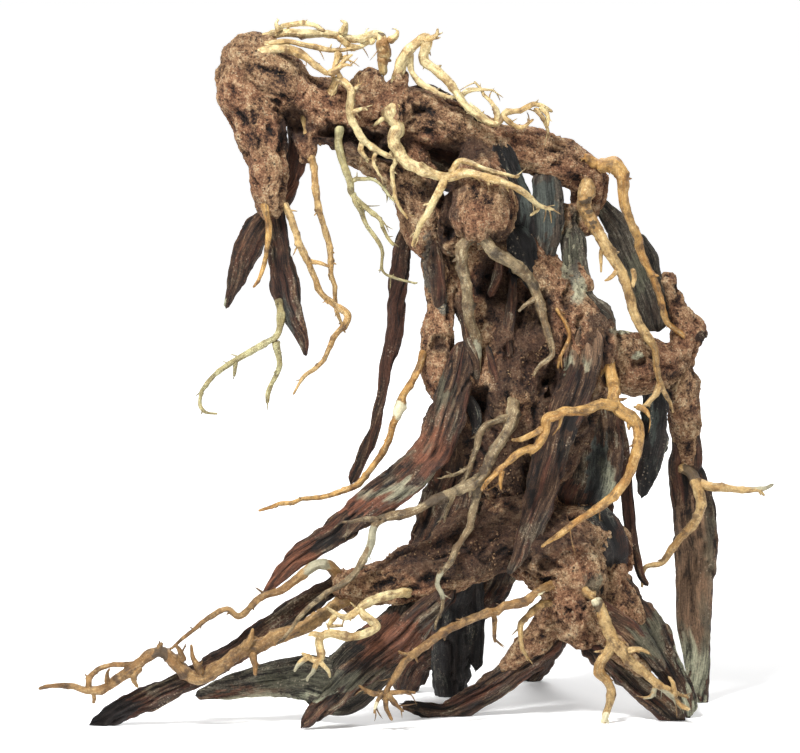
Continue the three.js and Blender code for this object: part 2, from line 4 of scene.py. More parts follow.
import bpy
import numpy as np
from mathutils.kdtree import KDTree
from bpy.props import FloatProperty, FloatVectorProperty, PointerProperty
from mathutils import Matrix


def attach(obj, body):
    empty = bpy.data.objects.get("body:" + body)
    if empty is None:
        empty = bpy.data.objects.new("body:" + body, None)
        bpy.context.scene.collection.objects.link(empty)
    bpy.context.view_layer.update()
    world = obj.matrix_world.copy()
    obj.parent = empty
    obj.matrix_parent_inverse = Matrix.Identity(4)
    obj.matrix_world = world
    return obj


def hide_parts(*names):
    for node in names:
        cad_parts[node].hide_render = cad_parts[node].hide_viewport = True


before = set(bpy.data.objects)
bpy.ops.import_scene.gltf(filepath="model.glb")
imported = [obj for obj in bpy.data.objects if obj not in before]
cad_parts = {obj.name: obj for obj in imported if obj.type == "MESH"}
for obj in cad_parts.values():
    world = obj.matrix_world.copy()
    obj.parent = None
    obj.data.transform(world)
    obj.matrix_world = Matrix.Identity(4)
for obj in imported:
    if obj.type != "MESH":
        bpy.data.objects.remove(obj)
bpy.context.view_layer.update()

bl_info = {
    "name": "Bonsai driftwood",
    "version": (1, 0, 0),
    "blender": (4, 5, 0),
    "location": "3D View > Sidebar > Driftwood",
    "description": "Builds the crust, strips, twigs and stage of an aquarium bonsai driftwood",
    "category": "Add Mesh",
}

MM = 0.001
BODY = "root"

# The photograph's view: its plane of 400 mm across stands at the target, seen from a little above.
VIEW_DISTANCE = 2200
VIEW_TILT = math.radians(6)
VIEW_MIDDLE_UP = 174.75
VIEW_TARGET_HEIGHT = 170.15
FOOTPRINT = np.array([5.35, 20.57, 0.0])
EYE_BACK = VIEW_DISTANCE * math.cos(VIEW_TILT)
EYE_UP = VIEW_DISTANCE * math.sin(VIEW_TILT)

# Every stroke is a row of (across, up, depth, radius) in millimetres on the photograph's plane.
# Limbs under the rough crust.
CRUST_LIMBS = {
    "trunk": [
        [(52, 279, 12, 8), (50, 256, 14, 10), (48, 236, 14, 11), (48, 218, 12, 12), (52, 198, 8, 15),
          (54, 175, 4, 17),
          (55, 155, 2, 17), (52, 135, 4, 17), (54, 110, 6, 18)],
    ],
    "base": [
        [(38, 105, -6, 14), (55, 98, -4, 19), (72, 88, -6, 19), (86, 75, -10, 18), (89, 55, -14, 15),
          (89, 40, -16, 9)],
        [(72, 98, 2, 14), (92, 100, 6, 12), (105, 89, 6, 11), (109, 74, 2, 8)],
    ],
    "arch": [
        [(-14, 308, 0, 15), (0, 309, 0, 12.5), (20, 302, 2, 10.5), (40, 294, 4, 10.5), (60, 287, 6, 11)],
        [(-16, 314, 0, 10), (-14, 329, 2, 7)],
    ],
    "crown": [
        [(-86, 342, -4, 10), (-79, 335, -5, 14), (-66, 326, -5, 15), (-50, 315, -3, 13), (-36, 308, 0, 16),
          (-24, 303, 0, 15)],
    ],
    "hanging_leg": [
        [(-79, 322, -5, 12), (-71, 307, -6, 12), (-67, 293, -7, 10), (-65, 280, -8, 8), (-65, 268, -8, 7.8),
          (-65, 259, -8, 6.5)],
    ],
    "right_shoulder": [
        [(60, 288, 7, 10), (80, 282, 10, 12.5), (93, 274, 12, 10.5), (93, 260, 14, 8), (91, 244, 14, 7)],
    ],
    "neck": [
        [(-29, 294, -2, 9), (-9, 283, -2, 10), (6, 267, 0, 10), (11, 250, 2, 10.5), (16, 235, 4, 8.5)],
    ],
    "ball_knob": [
        [(42, 284, 0, 8), (41, 270, -12, 12), (41, 256, -14, 15.5), (39, 243, -9, 12)],
        [(31, 262, -12, 7), (25, 248, -11, 5.5), (25, 236, -6, 4.5)],
    ],
    "trunk_ridge": [
        [(69, 229, 0, 8), (77, 215, -1, 12), (88, 198, 0, 17), (93, 182, 2, 17), (86, 165, 4, 17),
          (76, 145, 5, 17), (70, 122, 3, 14)],
    ],
    "left_column": [
        [(16, 236, 2, 6), (19, 220, 0, 6.5), (20.5, 207, 0, 6.5), (17.5, 195, -2, 8.5), (20, 178, -2, 9.5),
          (30, 161, -1, 9.5),
          (42, 148, 0, 9)],
    ],
    "left_base": [
        [(-34, 70, -34, 7), (-12, 70, -29, 11), (10, 75, -24, 12.5), (30, 82, -18, 13.5), (46, 90, -10, 12)],
    ],
    "right_limb": [
        [(133, 227, 20, 3.5), (138, 211, 22, 5), (143, 196, 24, 8.5), (140, 182, 26, 7), (141, 165, 28, 7.5),
          (142, 147, 29, 7.5)],
        [(106, 182, 8, 11), (118, 178, 13, 13), (131, 180, 20, 10), (141, 184, 25, 6)],
    ],
}

# Flat weathered strips and roots of dark wood.
WOOD_STRIPS = {
    "left_root": [
        [(32, 192, -9, 4), (28, 174, -13, 8), (23, 155, -17, 9.5), (16, 139, -20, 9), (3, 124, -24, 9.5),
          (-13, 112, -27, 8.5),
          (-31, 98, -30, 7), (-50, 85, -33, 5.5), (-62, 73, -36, 3), (-68, 66, -38, 1.2)],
    ],
    "right_leg": [
        [(142, 152, 30, 6), (143, 138, 30, 8), (144, 123, 31, 10), (147, 105, 32, 11.5), (148, 90, 32, 11.5),
          (147, 73, 32, 10), (147, 53, 31, 9.5),
          (148, 36, 30, 7.5), (149, 20, 29, 6), (149, 8, 28, 5)],
    ],
    "mid_plank": [
        [(94, 200, -12, 8), (91, 183, -14, 9.5), (87, 167, -15, 9.5), (80, 150, -15, 8.5), (75, 135, -16, 9.5),
          (71, 118, -18, 8.5), (66, 100, -23, 6.5), (60, 86, -26, 4), (54, 76, -28, 1.5)],
    ],
    "charred_slab": [
        [(49, 291, -5, 5.5), (53, 278, -5, 6.5), (59, 262, 0, 7.5), (62, 243, 2, 8), (62, 222, 4, 7)],
    ],
    "grey_slab": [
        [(73, 277, 2, 7), (74, 260, 0, 8), (74, 244, 0, 6.5), (72, 230, 2, 4)],
    ],
    "outer_plank": [
        [(99, 262, 17, 3.5), (110, 248, 19, 7), (119, 232, 20, 10.5), (124, 215, 21, 10), (129, 198, 22, 6.5)],
    ],
    "lichen_strip": [
        [(86, 247, 4, 6.5), (87, 230, 2, 6.5), (92, 213, 0, 5.5), (104, 200, 0, 7)],
    ],
    "hanging_plate": [
        [(128, 172, 16, 5.5), (127, 158, 18, 7), (126, 145, 18, 7.5), (124, 130, 17, 6), (121, 115, 16, 2.5)],
    ],
    "fluted_slab": [
        [(33, 148, -5, 8), (29, 128, -5, 12), (24, 110, -9, 14), (16, 92, -15, 13), (8, 80, -20, 9)],
    ],
    "hollow_slab": [
        [(98, 168, 9, 11), (99, 145, 9, 14), (96, 124, 7, 16), (90, 104, 3, 14)],
    ],
    "inner_strip": [
        [(-24, 298, 7, 8), (0, 288, 9, 10), (24, 278, 11, 12), (46, 268, 8, 11), (58, 256, 10, 7)],
    ],
    "thin_strip": [
        [(109, 156, 12, 2.6), (112, 134, 18, 3), (114, 113, 18, 3.3), (116, 96, 16, 3), (120, 77, 10, 2.2),
          (124, 70, 8, 1)],
    ],
    "back_leaf": [
        [(-52, 306, 5, 4.5), (-52, 288, 5, 5), (-54, 273, 5, 5.5), (-61, 261, 5, 6), (-70, 250, 4, 6.5),
          (-77, 238, 3, 6.5),
          (-82, 223, 2, 5), (-87, 209, 2, 1.5)],
    ],
    "hanging_strip": [
        [(-62, 261, -4, 4), (-61, 246, -6, 5), (-59.5, 232, -7, 6.5), (-57, 217, -8, 7.5), (-53, 204, -8, 5),
          (-48.5, 193, -9, 3),
          (-47, 185, -9, 1)],
    ],
    "long_strip": [
        [(6, 253, 9, 4), (1, 237, 11, 4.6), (-2, 209, 12, 4.8), (-3, 195, 11, 4.2), (-7, 180, 9, 3.2),
          (-9.5, 164, 7, 2.6),
          (-13, 148, 5, 2.6), (-18.5, 135, 3, 3.7), (-24, 122, 2, 2.8)],
    ],
    "red_strip": [
        [(26, 68, -30, 7), (6, 51, -38, 7), (-10, 36, -43, 7.5), (-25, 23, -46, 7.5), (-39, 10, -48, 5.5),
          (-48, 0, -48, 3)],
    ],
    "black_tip_strip": [
        [(-26, 75, -27, 5), (-47, 61, -31, 6), (-65, 49, -33, 6.5), (-83, 37, -35, 6.5), (-100, 26, -36, 6.5),
          (-118, 18, -37, 6.5),
          (-135, 10, -37, 7), (-147, 3, -36, 5), (-154, 0, -36, 3)],
    ],
    "grey_plank": [
        [(-102, 15, -24, 2.5), (-86, 19, -25, 6), (-66, 23, -27, 8.5), (-47, 24, -29, 12), (-30, 21, -31, 16),
          (-14, 35, -31, 15),
          (4, 52, -30, 12), (14, 68, -26, 8)],
    ],
    "bottom_strip": [
        [(1, 11, -18, 2), (12, 8.5, -16, 4.5), (23, 7, -13, 5.5), (35, 12, -11, 6), (46, 20, -10, 7),
          (56, 27, -10, 7),
          (68, 36, -9, 8), (80, 44, -9, 9)],
    ],
    "right_base_upper": [
        [(94, 86, 0, 10), (108, 68, -4, 10), (120, 52, -8, 9.5), (131, 36, -12, 8.5), (140, 19, -15, 7),
          (144, 5, -16, 6)],
    ],
    "right_base_lower": [
        [(92, 48, -16, 8.5), (104, 37, -18, 8.5), (117, 24, -21, 8), (130, 12, -23, 7), (139, 3, -24, 6)],
    ],
}

# Upright back pieces with a thicker section.
BACK_POSTS = {
    "fluted_column": [
        [(52, 200, 26, 5), (48, 165, 24, 8), (42, 125, 25, 9.5), (33, 88, 26, 9.5), (28, 63, 32, 9.5),
          (26, 43, 40, 10),
          (25, 28, 46, 10), (25, 12, 49, 9)],
        [(36, 90, 24, 6), (37, 66, 30, 5), (38, 48, 38, 4.5), (38, 30, 43, 4)],
    ],
    "rear_root": [
        [(84, 112, 14, 12), (88, 88, 26, 11), (86, 66, 46, 9.5), (78, 48, 66, 8.5), (70, 34, 84, 7.5),
          (64, 23, 95, 6.5)],
    ],
    "back_root": [
        [(82, 190, 22, 5), (78, 160, 25, 8), (70, 125, 27, 11), (56, 95, 30, 12), (40, 66, 40, 12),
          (20, 46, 50, 10),
          (8, 31, 57, 8.5), (1, 17, 61, 7.5)],
    ],
}

# Pale branching twigs, the main stem first and its side shoots after it.
TWIGS = {
    "crown_top_twig": [
        [(-70, 343, -7, 3), (-58, 346.5, -8, 3), (-47, 347, -8, 3), (-34, 346, -5, 3), (-21.5, 343.5, -2, 3),
          (-11, 346, 0, 4),
          (-8, 338, 0, 6.5), (-9, 328, 1, 4)],
        [(-61.5, 345.5, -8, 1.8), (-57, 351, -8, 2), (-43, 351, -7, 2), (-37, 346.5, -6, 1.8)],
        [(-31.5, 345, -6, 2), (-22, 339.5, -4, 2), (-12.5, 343, 0, 2)],
        [(-27.5, 345, -4, 1.7), (-26.5, 351, -4, 1.4), (-29.5, 353, -4, 1)],
    ],
    "crown_front_twig": [
        [(-72, 337, -15, 3), (-58, 338, -18, 3), (-49, 335.5, -18, 3), (-42, 331, -18, 2.8),
          (-35.5, 325.5, -16, 2.2)],
        [(-69, 340, -14, 1.8), (-57, 342.5, -15, 2), (-45, 340, -15, 2), (-31, 338, -13, 2), (-22, 338, -8, 1.6)],
        [(-31.5, 337, -13, 2), (-31.5, 329.5, -17, 2), (-28, 322, -17, 1.7)],
        [(-31.5, 333, -15, 1.4), (-23.5, 335.5, -13, 0.9)],
    ],
    "looping_twig": [
        [(-35, 311, -10, 2.2), (-32, 324, -15, 2.2), (-24, 318, -19, 2.2), (-25, 306, -19, 2.2),
          (-19, 294, -17, 2.2),
          (-11, 288.5, -15, 2), (-3, 283.5, -14, 1.7), (-4.5, 277, -14, 1.5), (-1, 261, -13, 1.3),
          (4, 253.5, -12, 0.9)],
        [(-18.5, 293, -16, 1.6), (-19.5, 287.5, -16, 1.4), (-16, 281.5, -15, 0.9)],
        [(-23, 318, -19, 1.4), (-20, 321, -19, 1)],
    ],
    "drooping_twig": [
        [(-30.5, 300, -10, 2.2), (-30, 289, -13, 2.2), (-24.5, 272.5, -14, 2), (-23, 266, -14, 1.8),
          (-11.5, 254, -14, 1.5),
          (-3, 240, -13, 1.1)],
        [(-23.5, 267, -14, 1.6), (-18.5, 254, -14, 1.4), (-10, 240, -14, 1.2), (-7.5, 226, -13, 1),
          (9, 221.5, -13, 0.8)],
        [(-24.5, 272.5, -14, 1.3), (-13, 273, -14, 1.1), (-2.5, 262, -15, 0.8)],
    ],
    "straight_twig": [
        [(-48, 306, -6, 2.8), (-45, 286, -9, 2.4), (-40, 258.5, -10, 2.3), (-34.5, 233, -9, 2.2),
          (-32, 209, -4, 1.8),
          (-28.5, 197.5, -2, 1.2)],
    ],
    "forked_twig": [
        [(-58, 262, -9, 2.2), (-53.5, 250, -11, 2.2), (-46, 233, -12, 2.2), (-40, 217, -12, 2),
          (-34, 211.5, -12, 2),
          (-26, 205, -12, 2.7), (-32, 195, -12, 2), (-40, 180.5, -12, 1.8), (-48, 174.5, -12, 1.6),
          (-53.5, 165.5, -12, 0.9)],
        [(-46, 233, -12, 1.5), (-41, 232, -13, 1.4), (-35, 229.5, -14, 1)],
    ],
    "short_hanging_twig": [
        [(-68, 262, -13, 2.4), (-66, 246, -13, 2.2), (-69, 229.5, -13, 1.8), (-73.5, 219, -13, 1)],
    ],
    "trailing_twig": [
        [(-60, 214, -9, 2.4), (-61, 197, -10, 2.3), (-69, 191.5, -11, 2.1), (-83, 182, -12, 2),
          (-96, 172, -12, 1.7),
          (-100.5, 161.5, -12, 1.5), (-98, 156.5, -12, 1.4), (-91, 156, -12, 0.9)],
        [(-62, 193, -10, 2.2), (-60, 180.5, -8, 1.9), (-65.5, 168.5, -8, 1.8), (-66.5, 161, -8, 1.5)],
        [(-82, 183, -12, 1.6), (-83, 174.5, -12, 1.1)],
    ],
    "top_right_twig": [
        [(-2, 317, -4, 3.4), (-1, 327, -6, 3.6), (4, 336, -8, 3.5), (13, 344, -9, 2.9), (13, 334, -10, 3),
          (22.5, 322.5, -11, 2.9),
          (34, 309.5, -12, 2.7), (46, 302, -12, 2.6), (53, 306.5, -10, 2.4), (67.5, 310, -7, 2.2),
          (76.5, 307, -4, 1.3)],
        [(67, 309, -7, 1.7), (71, 304, -6, 1.6), (74.5, 296.5, -5, 1.1)],
        [(51, 305, -11, 1.7), (60, 299.5, -10, 1.5), (67, 303.5, -8, 1.1)],
        [(48.5, 302, -11, 1.8), (47.5, 308.5, -11, 1.7), (37, 322.5, -9, 0.9)],
        [(29, 315, -11, 1.8), (36, 318, -11, 1.5), (47, 318, -10, 0.9)],
        [(5, 337, -6, 2), (7, 326, -6, 2), (18, 316.5, -9, 1.9), (28, 314.5, -11, 1.6)],
    ],
    "front_twig": [
        [(-1.5, 311, -11, 4.6), (-4.5, 306, -15, 4.4), (-1.5, 299.5, -16, 4.2), (-3, 293, -16, 4),
          (2, 283, -17, 3.6),
          (14, 277, -20, 3.5), (23, 274.5, -22, 3.4), (36.5, 276, -28, 3), (51, 272, -30, 2.6),
          (63, 266, -27, 2.2),
          (69.5, 259, -22, 1.6), (65, 255, -22, 1)],
        [(66, 263, -25, 1.6), (71, 260, -22, 1.4), (77.5, 258, -18, 0.9)],
        [(25, 276, -22, 2), (31, 283, -24, 2), (47.5, 276.5, -28, 1.7), (60, 275, -26, 1)],
        [(22.5, 274, -22, 2.6), (16, 262, -22, 2.4), (9, 249, -19, 2), (6, 239.5, -16, 1.1)],
    ],
    "grey_fork_twig": [
        [(42, 249, -21, 3), (31, 238, -23, 3.4), (32, 227, -19, 3.5), (34.5, 208, -15, 3.6), (38, 190, -10, 3.4),
          (39, 175, -8, 1.6)],
        [(40, 247, -23, 3), (47.5, 237, -26, 3.5), (60, 228, -20, 3.5), (66, 219, -17, 3.2),
          (71.5, 203.5, -17, 2.6),
          (76, 187, -22, 2.2), (69.5, 181, -22, 1.7), (66.5, 175, -21, 1.2)],
        [(68, 214, -17, 1.6), (59, 207, -16, 1)],
    ],
    "orange_twig": [
        [(98, 280, 3, 3.6), (107, 280, 1, 4.6), (111, 272, 1, 3.6), (113, 262, 3, 3), (121, 238, 8, 2.7),
          (129, 218, 11, 2.5), (134, 203, 14, 2.4), (143, 194, 17, 2.3)],
    ],
    "shoulder_twig": [
        [(94, 274, -1, 4.4), (92, 260, -4, 4.5), (99, 248, -5, 3.8), (109, 229.5, -4, 3.4), (116.5, 211, -2, 3.2),
          (120, 201, -2, 3.2), (127, 187, -3, 2.8), (131, 171, 1, 2.3), (136.5, 156.5, 12, 1)],
        [(130.5, 172, 1, 2), (124, 161, -2, 1.7), (116.5, 159.5, -4, 1)],
        [(103, 241, -2, 1.8), (100.5, 236, -4, 1.5), (100.5, 226.5, -5, 0.9)],
    ],
    "yellow_twig": [
        [(12, 188, -8, 2.3), (7.5, 176.5, -12, 2.2), (1.5, 166, -13, 2.4), (0, 159, -13, 4.2),
          (-2, 152, -13, 2.4),
          (-10.5, 134.5, -13, 2.2), (-26, 118, -16, 2.2), (-44.5, 113.5, -17, 2), (-61, 110.5, -17, 1.9),
          (-71, 107.5, -17, 1.1)],
    ],
    "long_grey_arm": [
        [(57, 164, -12, 3.9), (56, 158, -18, 3.8), (54.5, 149, -24, 3.6), (45.5, 133.5, -32, 3.4),
          (38.5, 123, -35, 3.4),
          (19.5, 114.5, -37, 3.2), (3, 106.5, -39, 3), (-11, 102, -40, 2.8), (-16.5, 87.5, -41, 2.6),
          (-26, 73, -43, 2.3),
          (-44, 60, -47, 2), (-62, 40.5, -49, 1)],
        [(-10, 102, -40, 2), (-18, 103.5, -40, 1.7), (-29.5, 102, -40, 1)],
        [(55, 154, -21, 2.3), (43, 150.5, -24, 2.2), (37.5, 138, -27, 2), (33.5, 124, -29, 1.9),
          (27, 114.5, -31, 1.7),
          (22, 101.5, -31, 1)],
        [(35, 129, -28, 1.4), (21.5, 124, -29, 0.9)],
        [(40, 124, -34, 2.6), (38, 114, -34, 2.5), (33.5, 98.5, -35, 2.4), (26, 83.5, -38, 2.1),
          (19, 72, -41, 1.8),
          (21, 63, -43, 1.6), (17.5, 48, -45, 1)],
    ],
    "yellow_branch": [
        [(103, 182, -4, 3.4), (106, 172, -14, 3.4), (107, 165, -20, 3.4), (110, 158, -24, 3.6),
          (118, 149, -26, 3.4), (115.5, 129, -27, 3.2),
          (109, 117, -28, 3.1), (96, 107, -30, 2.7), (77, 94.5, -33, 2), (70.5, 89.5, -34, 1.2)],
        [(109, 160, -24, 3), (99.5, 160, -29, 3), (87, 157.5, -32, 2.9), (73.5, 155, -34, 2.8),
          (72, 147, -34, 2.6),
          (68, 139.5, -34, 2.5), (59.5, 136, -35, 2.4), (46, 123, -38, 2), (40.5, 117.5, -41, 1.2)],
        [(72, 149, -34, 2), (61.5, 143.5, -35, 1.7), (55.5, 143, -35, 1.1)],
        [(81, 156, -33, 1.5), (79.5, 149, -34, 0.9)],
        [(51, 128, -37, 1.6), (50.5, 118, -37, 0.9)],
    ],
    "right_twig": [
        [(140, 130, 28, 3.4), (147, 124, 22, 3.6), (150, 109, 17, 3.2), (146, 99, 17, 3.1), (136, 90, 17, 2.8),
          (131, 82, 17, 2.5), (122.5, 79, 17, 2), (121, 69, 17, 1)],
        [(147, 123, 21, 3), (157.5, 119, 18, 2.8), (170, 118.5, 17, 2.5), (181, 118.5, 17, 2.2),
          (187, 121, 17, 1.4)],
        [(178, 118, 17, 1.7), (182.5, 115, 17, 1.1)],
    ],
    "long_left_twig": [
        [(-24, 64, -33, 3.4), (-36, 57, -38, 3.6), (-48, 50, -40, 3.9), (-68, 42, -42, 4),
          (-87.5, 32, -45, 4), (-101, 24, -45, 3.9),
          (-120, 37, -46, 4), (-136.5, 25, -46, 3.4), (-153.5, 17, -46, 3), (-166, 20.5, -46, 2.4),
          (-181, 18.5, -46, 1.2)],
        [(-156, 18, -46, 1.8), (-152, 28, -46, 1.7), (-137.5, 31, -46, 1.5), (-126, 33, -46, 1.6)],
        [(-120, 36, -46, 2.5), (-119, 42, -46, 1.4)],
        [(-99, 25, -45, 2), (-103, 34, -45, 1.6), (-104.5, 41, -45, 1)],
        [(-153.5, 18, -46, 1.7), (-153.5, 11, -46, 1)],
    ],
    "left_bent_twig": [
        [(-30, 74, -32, 3.2), (-36, 80, -36, 3.5), (-44, 80, -38, 3.2), (-59, 69, -41, 2.4),
          (-71, 63.5, -42, 2.4), (-80, 55.5, -43, 2.3),
          (-87, 58.5, -43, 2.2), (-100, 50, -43, 2), (-115.5, 38, -43, 1.1)],
    ],
    "cream_twig": [
        [(5, 67, -33, 2.8), (0, 66, -42, 2.8), (-16, 61.5, -49, 2.8), (-20, 58, -50, 2.8), (-11, 50, -51, 2.8),
          (-18.5, 45.5, -53, 2.8), (-39, 45, -54, 3.5), (-40.5, 33.5, -55, 2.7), (-49.5, 36.5, -55, 1.5)],
        [(-20, 58.5, -50, 2), (-28, 55, -51, 2), (-37, 59.5, -51, 1.2)],
        [(-32, 56, -51, 1.7), (-35.5, 50, -51, 1.5), (-28, 50, -51, 1.1)],
        [(-41, 34, -55, 2), (-46.5, 22, -55, 1)],
    ],
    "long_front_twig": [
        [(80, 71, -20, 2.6), (70, 68, -28, 2.6), (60, 62, -34, 2.6), (34.5, 52.5, -43, 2.6),
          (14, 42, -50, 2.5), (2.5, 31.5, -52, 2.4),
          (-7, 17.5, -53, 2.2), (-4, 2.5, -53, 1.2)],
        [(-7, 17, -53, 1.8), (-14.5, 16, -53, 1.6), (-21, 20.5, -53, 1)],
        [(-7, 16.5, -53, 1.7), (8, 16.5, -53, 1)],
        [(46.5, 57, -38, 1.7), (47.5, 41.5, -39, 0.9)],
    ],
    "white_tip_twig": [
        [(80, 62, -18, 2), (71, 61, -26, 2), (66, 57, -29, 2), (59.5, 51, -30, 1.8), (61, 40, -31, 1.6),
          (64, 32.5, -31, 1)],
    ],
    "bottom_right_twig": [
        [(97, 64, -24, 2.7), (101.5, 53.5, -29, 3.4), (107.5, 42, -32, 3.6), (118, 30.5, -33, 2.9),
          (129, 20.5, -33, 2.7),
          (145, 8, -32, 1.4)],
        [(107, 43, -31, 3), (99.5, 29, -31, 3.1), (105.5, 17.5, -31, 2.8), (101.5, 0, -30, 2.4)],
        [(128, 21, -33, 1.8), (126, 15, -33, 1.6), (121.5, 13.5, -33, 1.1)],
        [(131, 19.5, -33, 1.7), (144.5, 14, -32, 0.9)],
    ],
}


# ---------------------------------------------------------------- numbers
def linear(rgb):
    """Scene-linear colour from red, green and blue of 0 to 255."""
    return [(v / 255 / 12.92) if v <= 10 else ((v / 255 + 0.055) / 1.055) ** 2.4 for v in rgb]


def cell_values(cells, seed):
    """A steady random number from 0 to 1 for every row of whole numbers."""
    key = (cells * np.array([73856093, 19349663, 83492791])).sum(axis=-1) + seed * 265443576
    key = (key ^ (key >> 13)) * 1274126177
    key = key & 0x7FFFFFFFFFFF
    key = (key ^ (key >> 17)) * 668265263
    return ((key >> 11) & 0xFFFFF) / 0xFFFFF


def noise(points, size, seed=0):
    """Smooth noise from -1 to 1, with bumps about size apart. Size is one number or one for each axis."""
    points = points / size
    cell = np.floor(points).astype(np.int64)
    part = points - cell
    part = part * part * (3 - 2 * part)
    total = np.zeros(len(points))
    for corner in range(8):
        step = np.array([corner & 1, corner >> 1 & 1, corner >> 2 & 1])
        weight = np.where(step == 1, part, 1 - part).prod(axis=1)
        total += weight * cell_values(cell + step, seed)
    return total * 2 - 1


def layered(points, size, seed=0, layers=3):
    """Noise with finer layers on it, from about -1 to 1."""
    size = np.asarray(size, float)
    total = sum(noise(points, size / 2 ** n, seed + n) / 2 ** n for n in range(layers))
    return total / 1.4


def pebbles(points, size, seed=0):
    """Round bumps packed side by side: 1 on top of a bump, 0 and less between them."""
    points = points / size
    cell = np.floor(points).astype(np.int64)
    nearest = np.full(len(points), 9.0)
    for x in (-1, 0, 1):
        for y in (-1, 0, 1):
            for z in (-1, 0, 1):
                near = cell + np.array([x, y, z])
                heart = near + np.stack([cell_values(near, seed + n) for n in range(3)], axis=1)
                nearest = np.minimum(nearest, ((points - heart) ** 2).sum(axis=1))
    return 1 - np.sqrt(nearest) * 1.6


def placed(stroke):
    """Points of a stroke in the row frame, in millimetres, and their radii."""
    across, up, depth, radius = np.array(stroke, float).T
    rise = up - VIEW_MIDDLE_UP
    reach = (depth + EYE_BACK) / (EYE_BACK + rise * math.sin(VIEW_TILT))
    height = VIEW_TARGET_HEIGHT + EYE_UP + reach * (rise * math.cos(VIEW_TILT) - EYE_UP)
    return np.stack([reach * across, depth, height], axis=1) - FOOTPRINT, radius


def seen(points):
    """Where points of the row frame stand on the photograph's plane: across and up."""
    from_eye = points + FOOTPRINT - np.array([0, -EYE_BACK, VIEW_TARGET_HEIGHT + EYE_UP])
    away = from_eye[:, 1] * math.cos(VIEW_TILT) - from_eye[:, 2] * math.sin(VIEW_TILT)
    rise = from_eye[:, 1] * math.sin(VIEW_TILT) + from_eye[:, 2] * math.cos(VIEW_TILT)
    return VIEW_DISTANCE * from_eye[:, 0] / away, VIEW_MIDDLE_UP + VIEW_DISTANCE * rise / away


def unit(vectors):
    length = np.linalg.norm(vectors, axis=-1, keepdims=True)
    return vectors / np.maximum(length, 1e-9)


# ---------------------------------------------------------------- paths and tubes
def smooth_path(stroke, step):
    """A curve through a stroke's points, cut every step millimetres: points, radii and length along."""
    points, radius = placed(stroke)
    before, after = 2 * points[0] - points[1], 2 * points[-1] - points[-2]
    knots = np.vstack([before, points, after])
    fine = 40
    t = np.linspace(0, 1, fine, endpoint=False)[:, None]
    curve = []
    for a, b, c, d in zip(knots, knots[1:], knots[2:], knots[3:]):
        curve.append(0.5 * (2 * b + (c - a) * t + (2 * a - 5 * b + 4 * c - d) * t ** 2
                            + (3 * b - a - 3 * c + d) * t ** 3))
    curve = np.vstack(curve + [points[-1:]])
    place = np.arange(len(curve)) / fine
    run = np.concatenate([[0], np.cumsum(np.linalg.norm(np.diff(curve, axis=0), axis=1))])
    count = max(4, int(round(run[-1] / step)) + 1)
    along = np.linspace(0, run[-1], count)
    even = np.stack([np.interp(along, run, curve[:, n]) for n in range(3)], axis=1)
    return even, np.interp(np.interp(along, run, place), np.arange(len(radius)), radius), along


def cross_frames(path, flat):
    """Two directions across a path at each point: its width, and its thickness."""
    tangent = unit(np.gradient(path, axis=0))
    sides = np.zeros_like(path)
    side = None
    for n, along in enumerate(tangent):
        toward = np.cross(along, (0, 1, 0))
        if side is None or (flat and np.linalg.norm(toward) > 0.35):
            wanted = toward if np.linalg.norm(toward) > 0.2 else np.array([1.0, 0, 0])
            if side is not None:
                wanted = side * 0.7 + unit(wanted) * 0.3
            side = wanted
        side = side - along * np.dot(side, along)
        side = side / np.linalg.norm(side)
        sides[n] = side
    return tangent, sides, np.cross(tangent, sides)


class Surface:
    """Vertices, faces and per-vertex values that grow as parts are added, all in millimetres."""

    def __init__(self):
        self.points, self.normals, self.quads, self.caps = [], [], [], []
        self.values = {}
        self.count = 0

    def grid(self, points, normals, values):
        """Adds a closed tube: rings of points, with a fan at each end."""
        rings, corners = points.shape[:2]
        first = self.count + np.arange(rings * corners).reshape(rings, corners)
        a, b = first[:-1], first[1:]
        self.quads.append(np.stack([a, np.roll(a, -1, 1), np.roll(b, -1, 1), b], axis=-1).reshape(-1, 4))
        start, end = self.count + rings * corners, self.count + rings * corners + 1
        low, high = first[0], first[-1]
        self.caps.append(np.stack([np.roll(low, -1), low, np.full(corners, start)], axis=-1))
        self.caps.append(np.stack([high, np.roll(high, -1), np.full(corners, end)], axis=-1))
        tips = np.stack([points[0].mean(axis=0), points[-1].mean(axis=0)])
        tip_normals = np.stack([normals[0].mean(axis=0), normals[-1].mean(axis=0)])
        self.points.append(np.vstack([points.reshape(-1, 3), tips]))
        self.normals.append(np.vstack([normals.reshape(-1, 3), tip_normals]))
        for name, value in values.items():
            flat = value.reshape(rings * corners, -1)
            ends = np.stack([value[0].reshape(corners, -1).mean(axis=0), value[-1].reshape(corners, -1).mean(axis=0)])
            self.values.setdefault(name, []).append(np.vstack([flat, ends]))
        self.count += rings * corners + 2

    def joined(self):
        self.points = [np.vstack(self.points)]
        self.normals = [np.vstack(self.normals)]
        self.values = {name: [np.vstack(value)] for name, value in self.values.items()}
        return self.points[0], {name: value[0] for name, value in self.values.items()}


def end_rounding(along, radius, amount):
    """How much of the radius is left near both ends, so that they close like a blunt tip."""
    from_start = np.clip(along / np.maximum(radius[0] * amount, 1e-6), 0, 1)
    from_end = np.clip((along[-1] - along) / np.maximum(radius[-1] * amount, 1e-6), 0, 1)
    nearest = np.minimum(from_start, from_end)
    return np.sqrt(np.clip(1 - (1 - nearest) ** 2, 0.0025, 1))


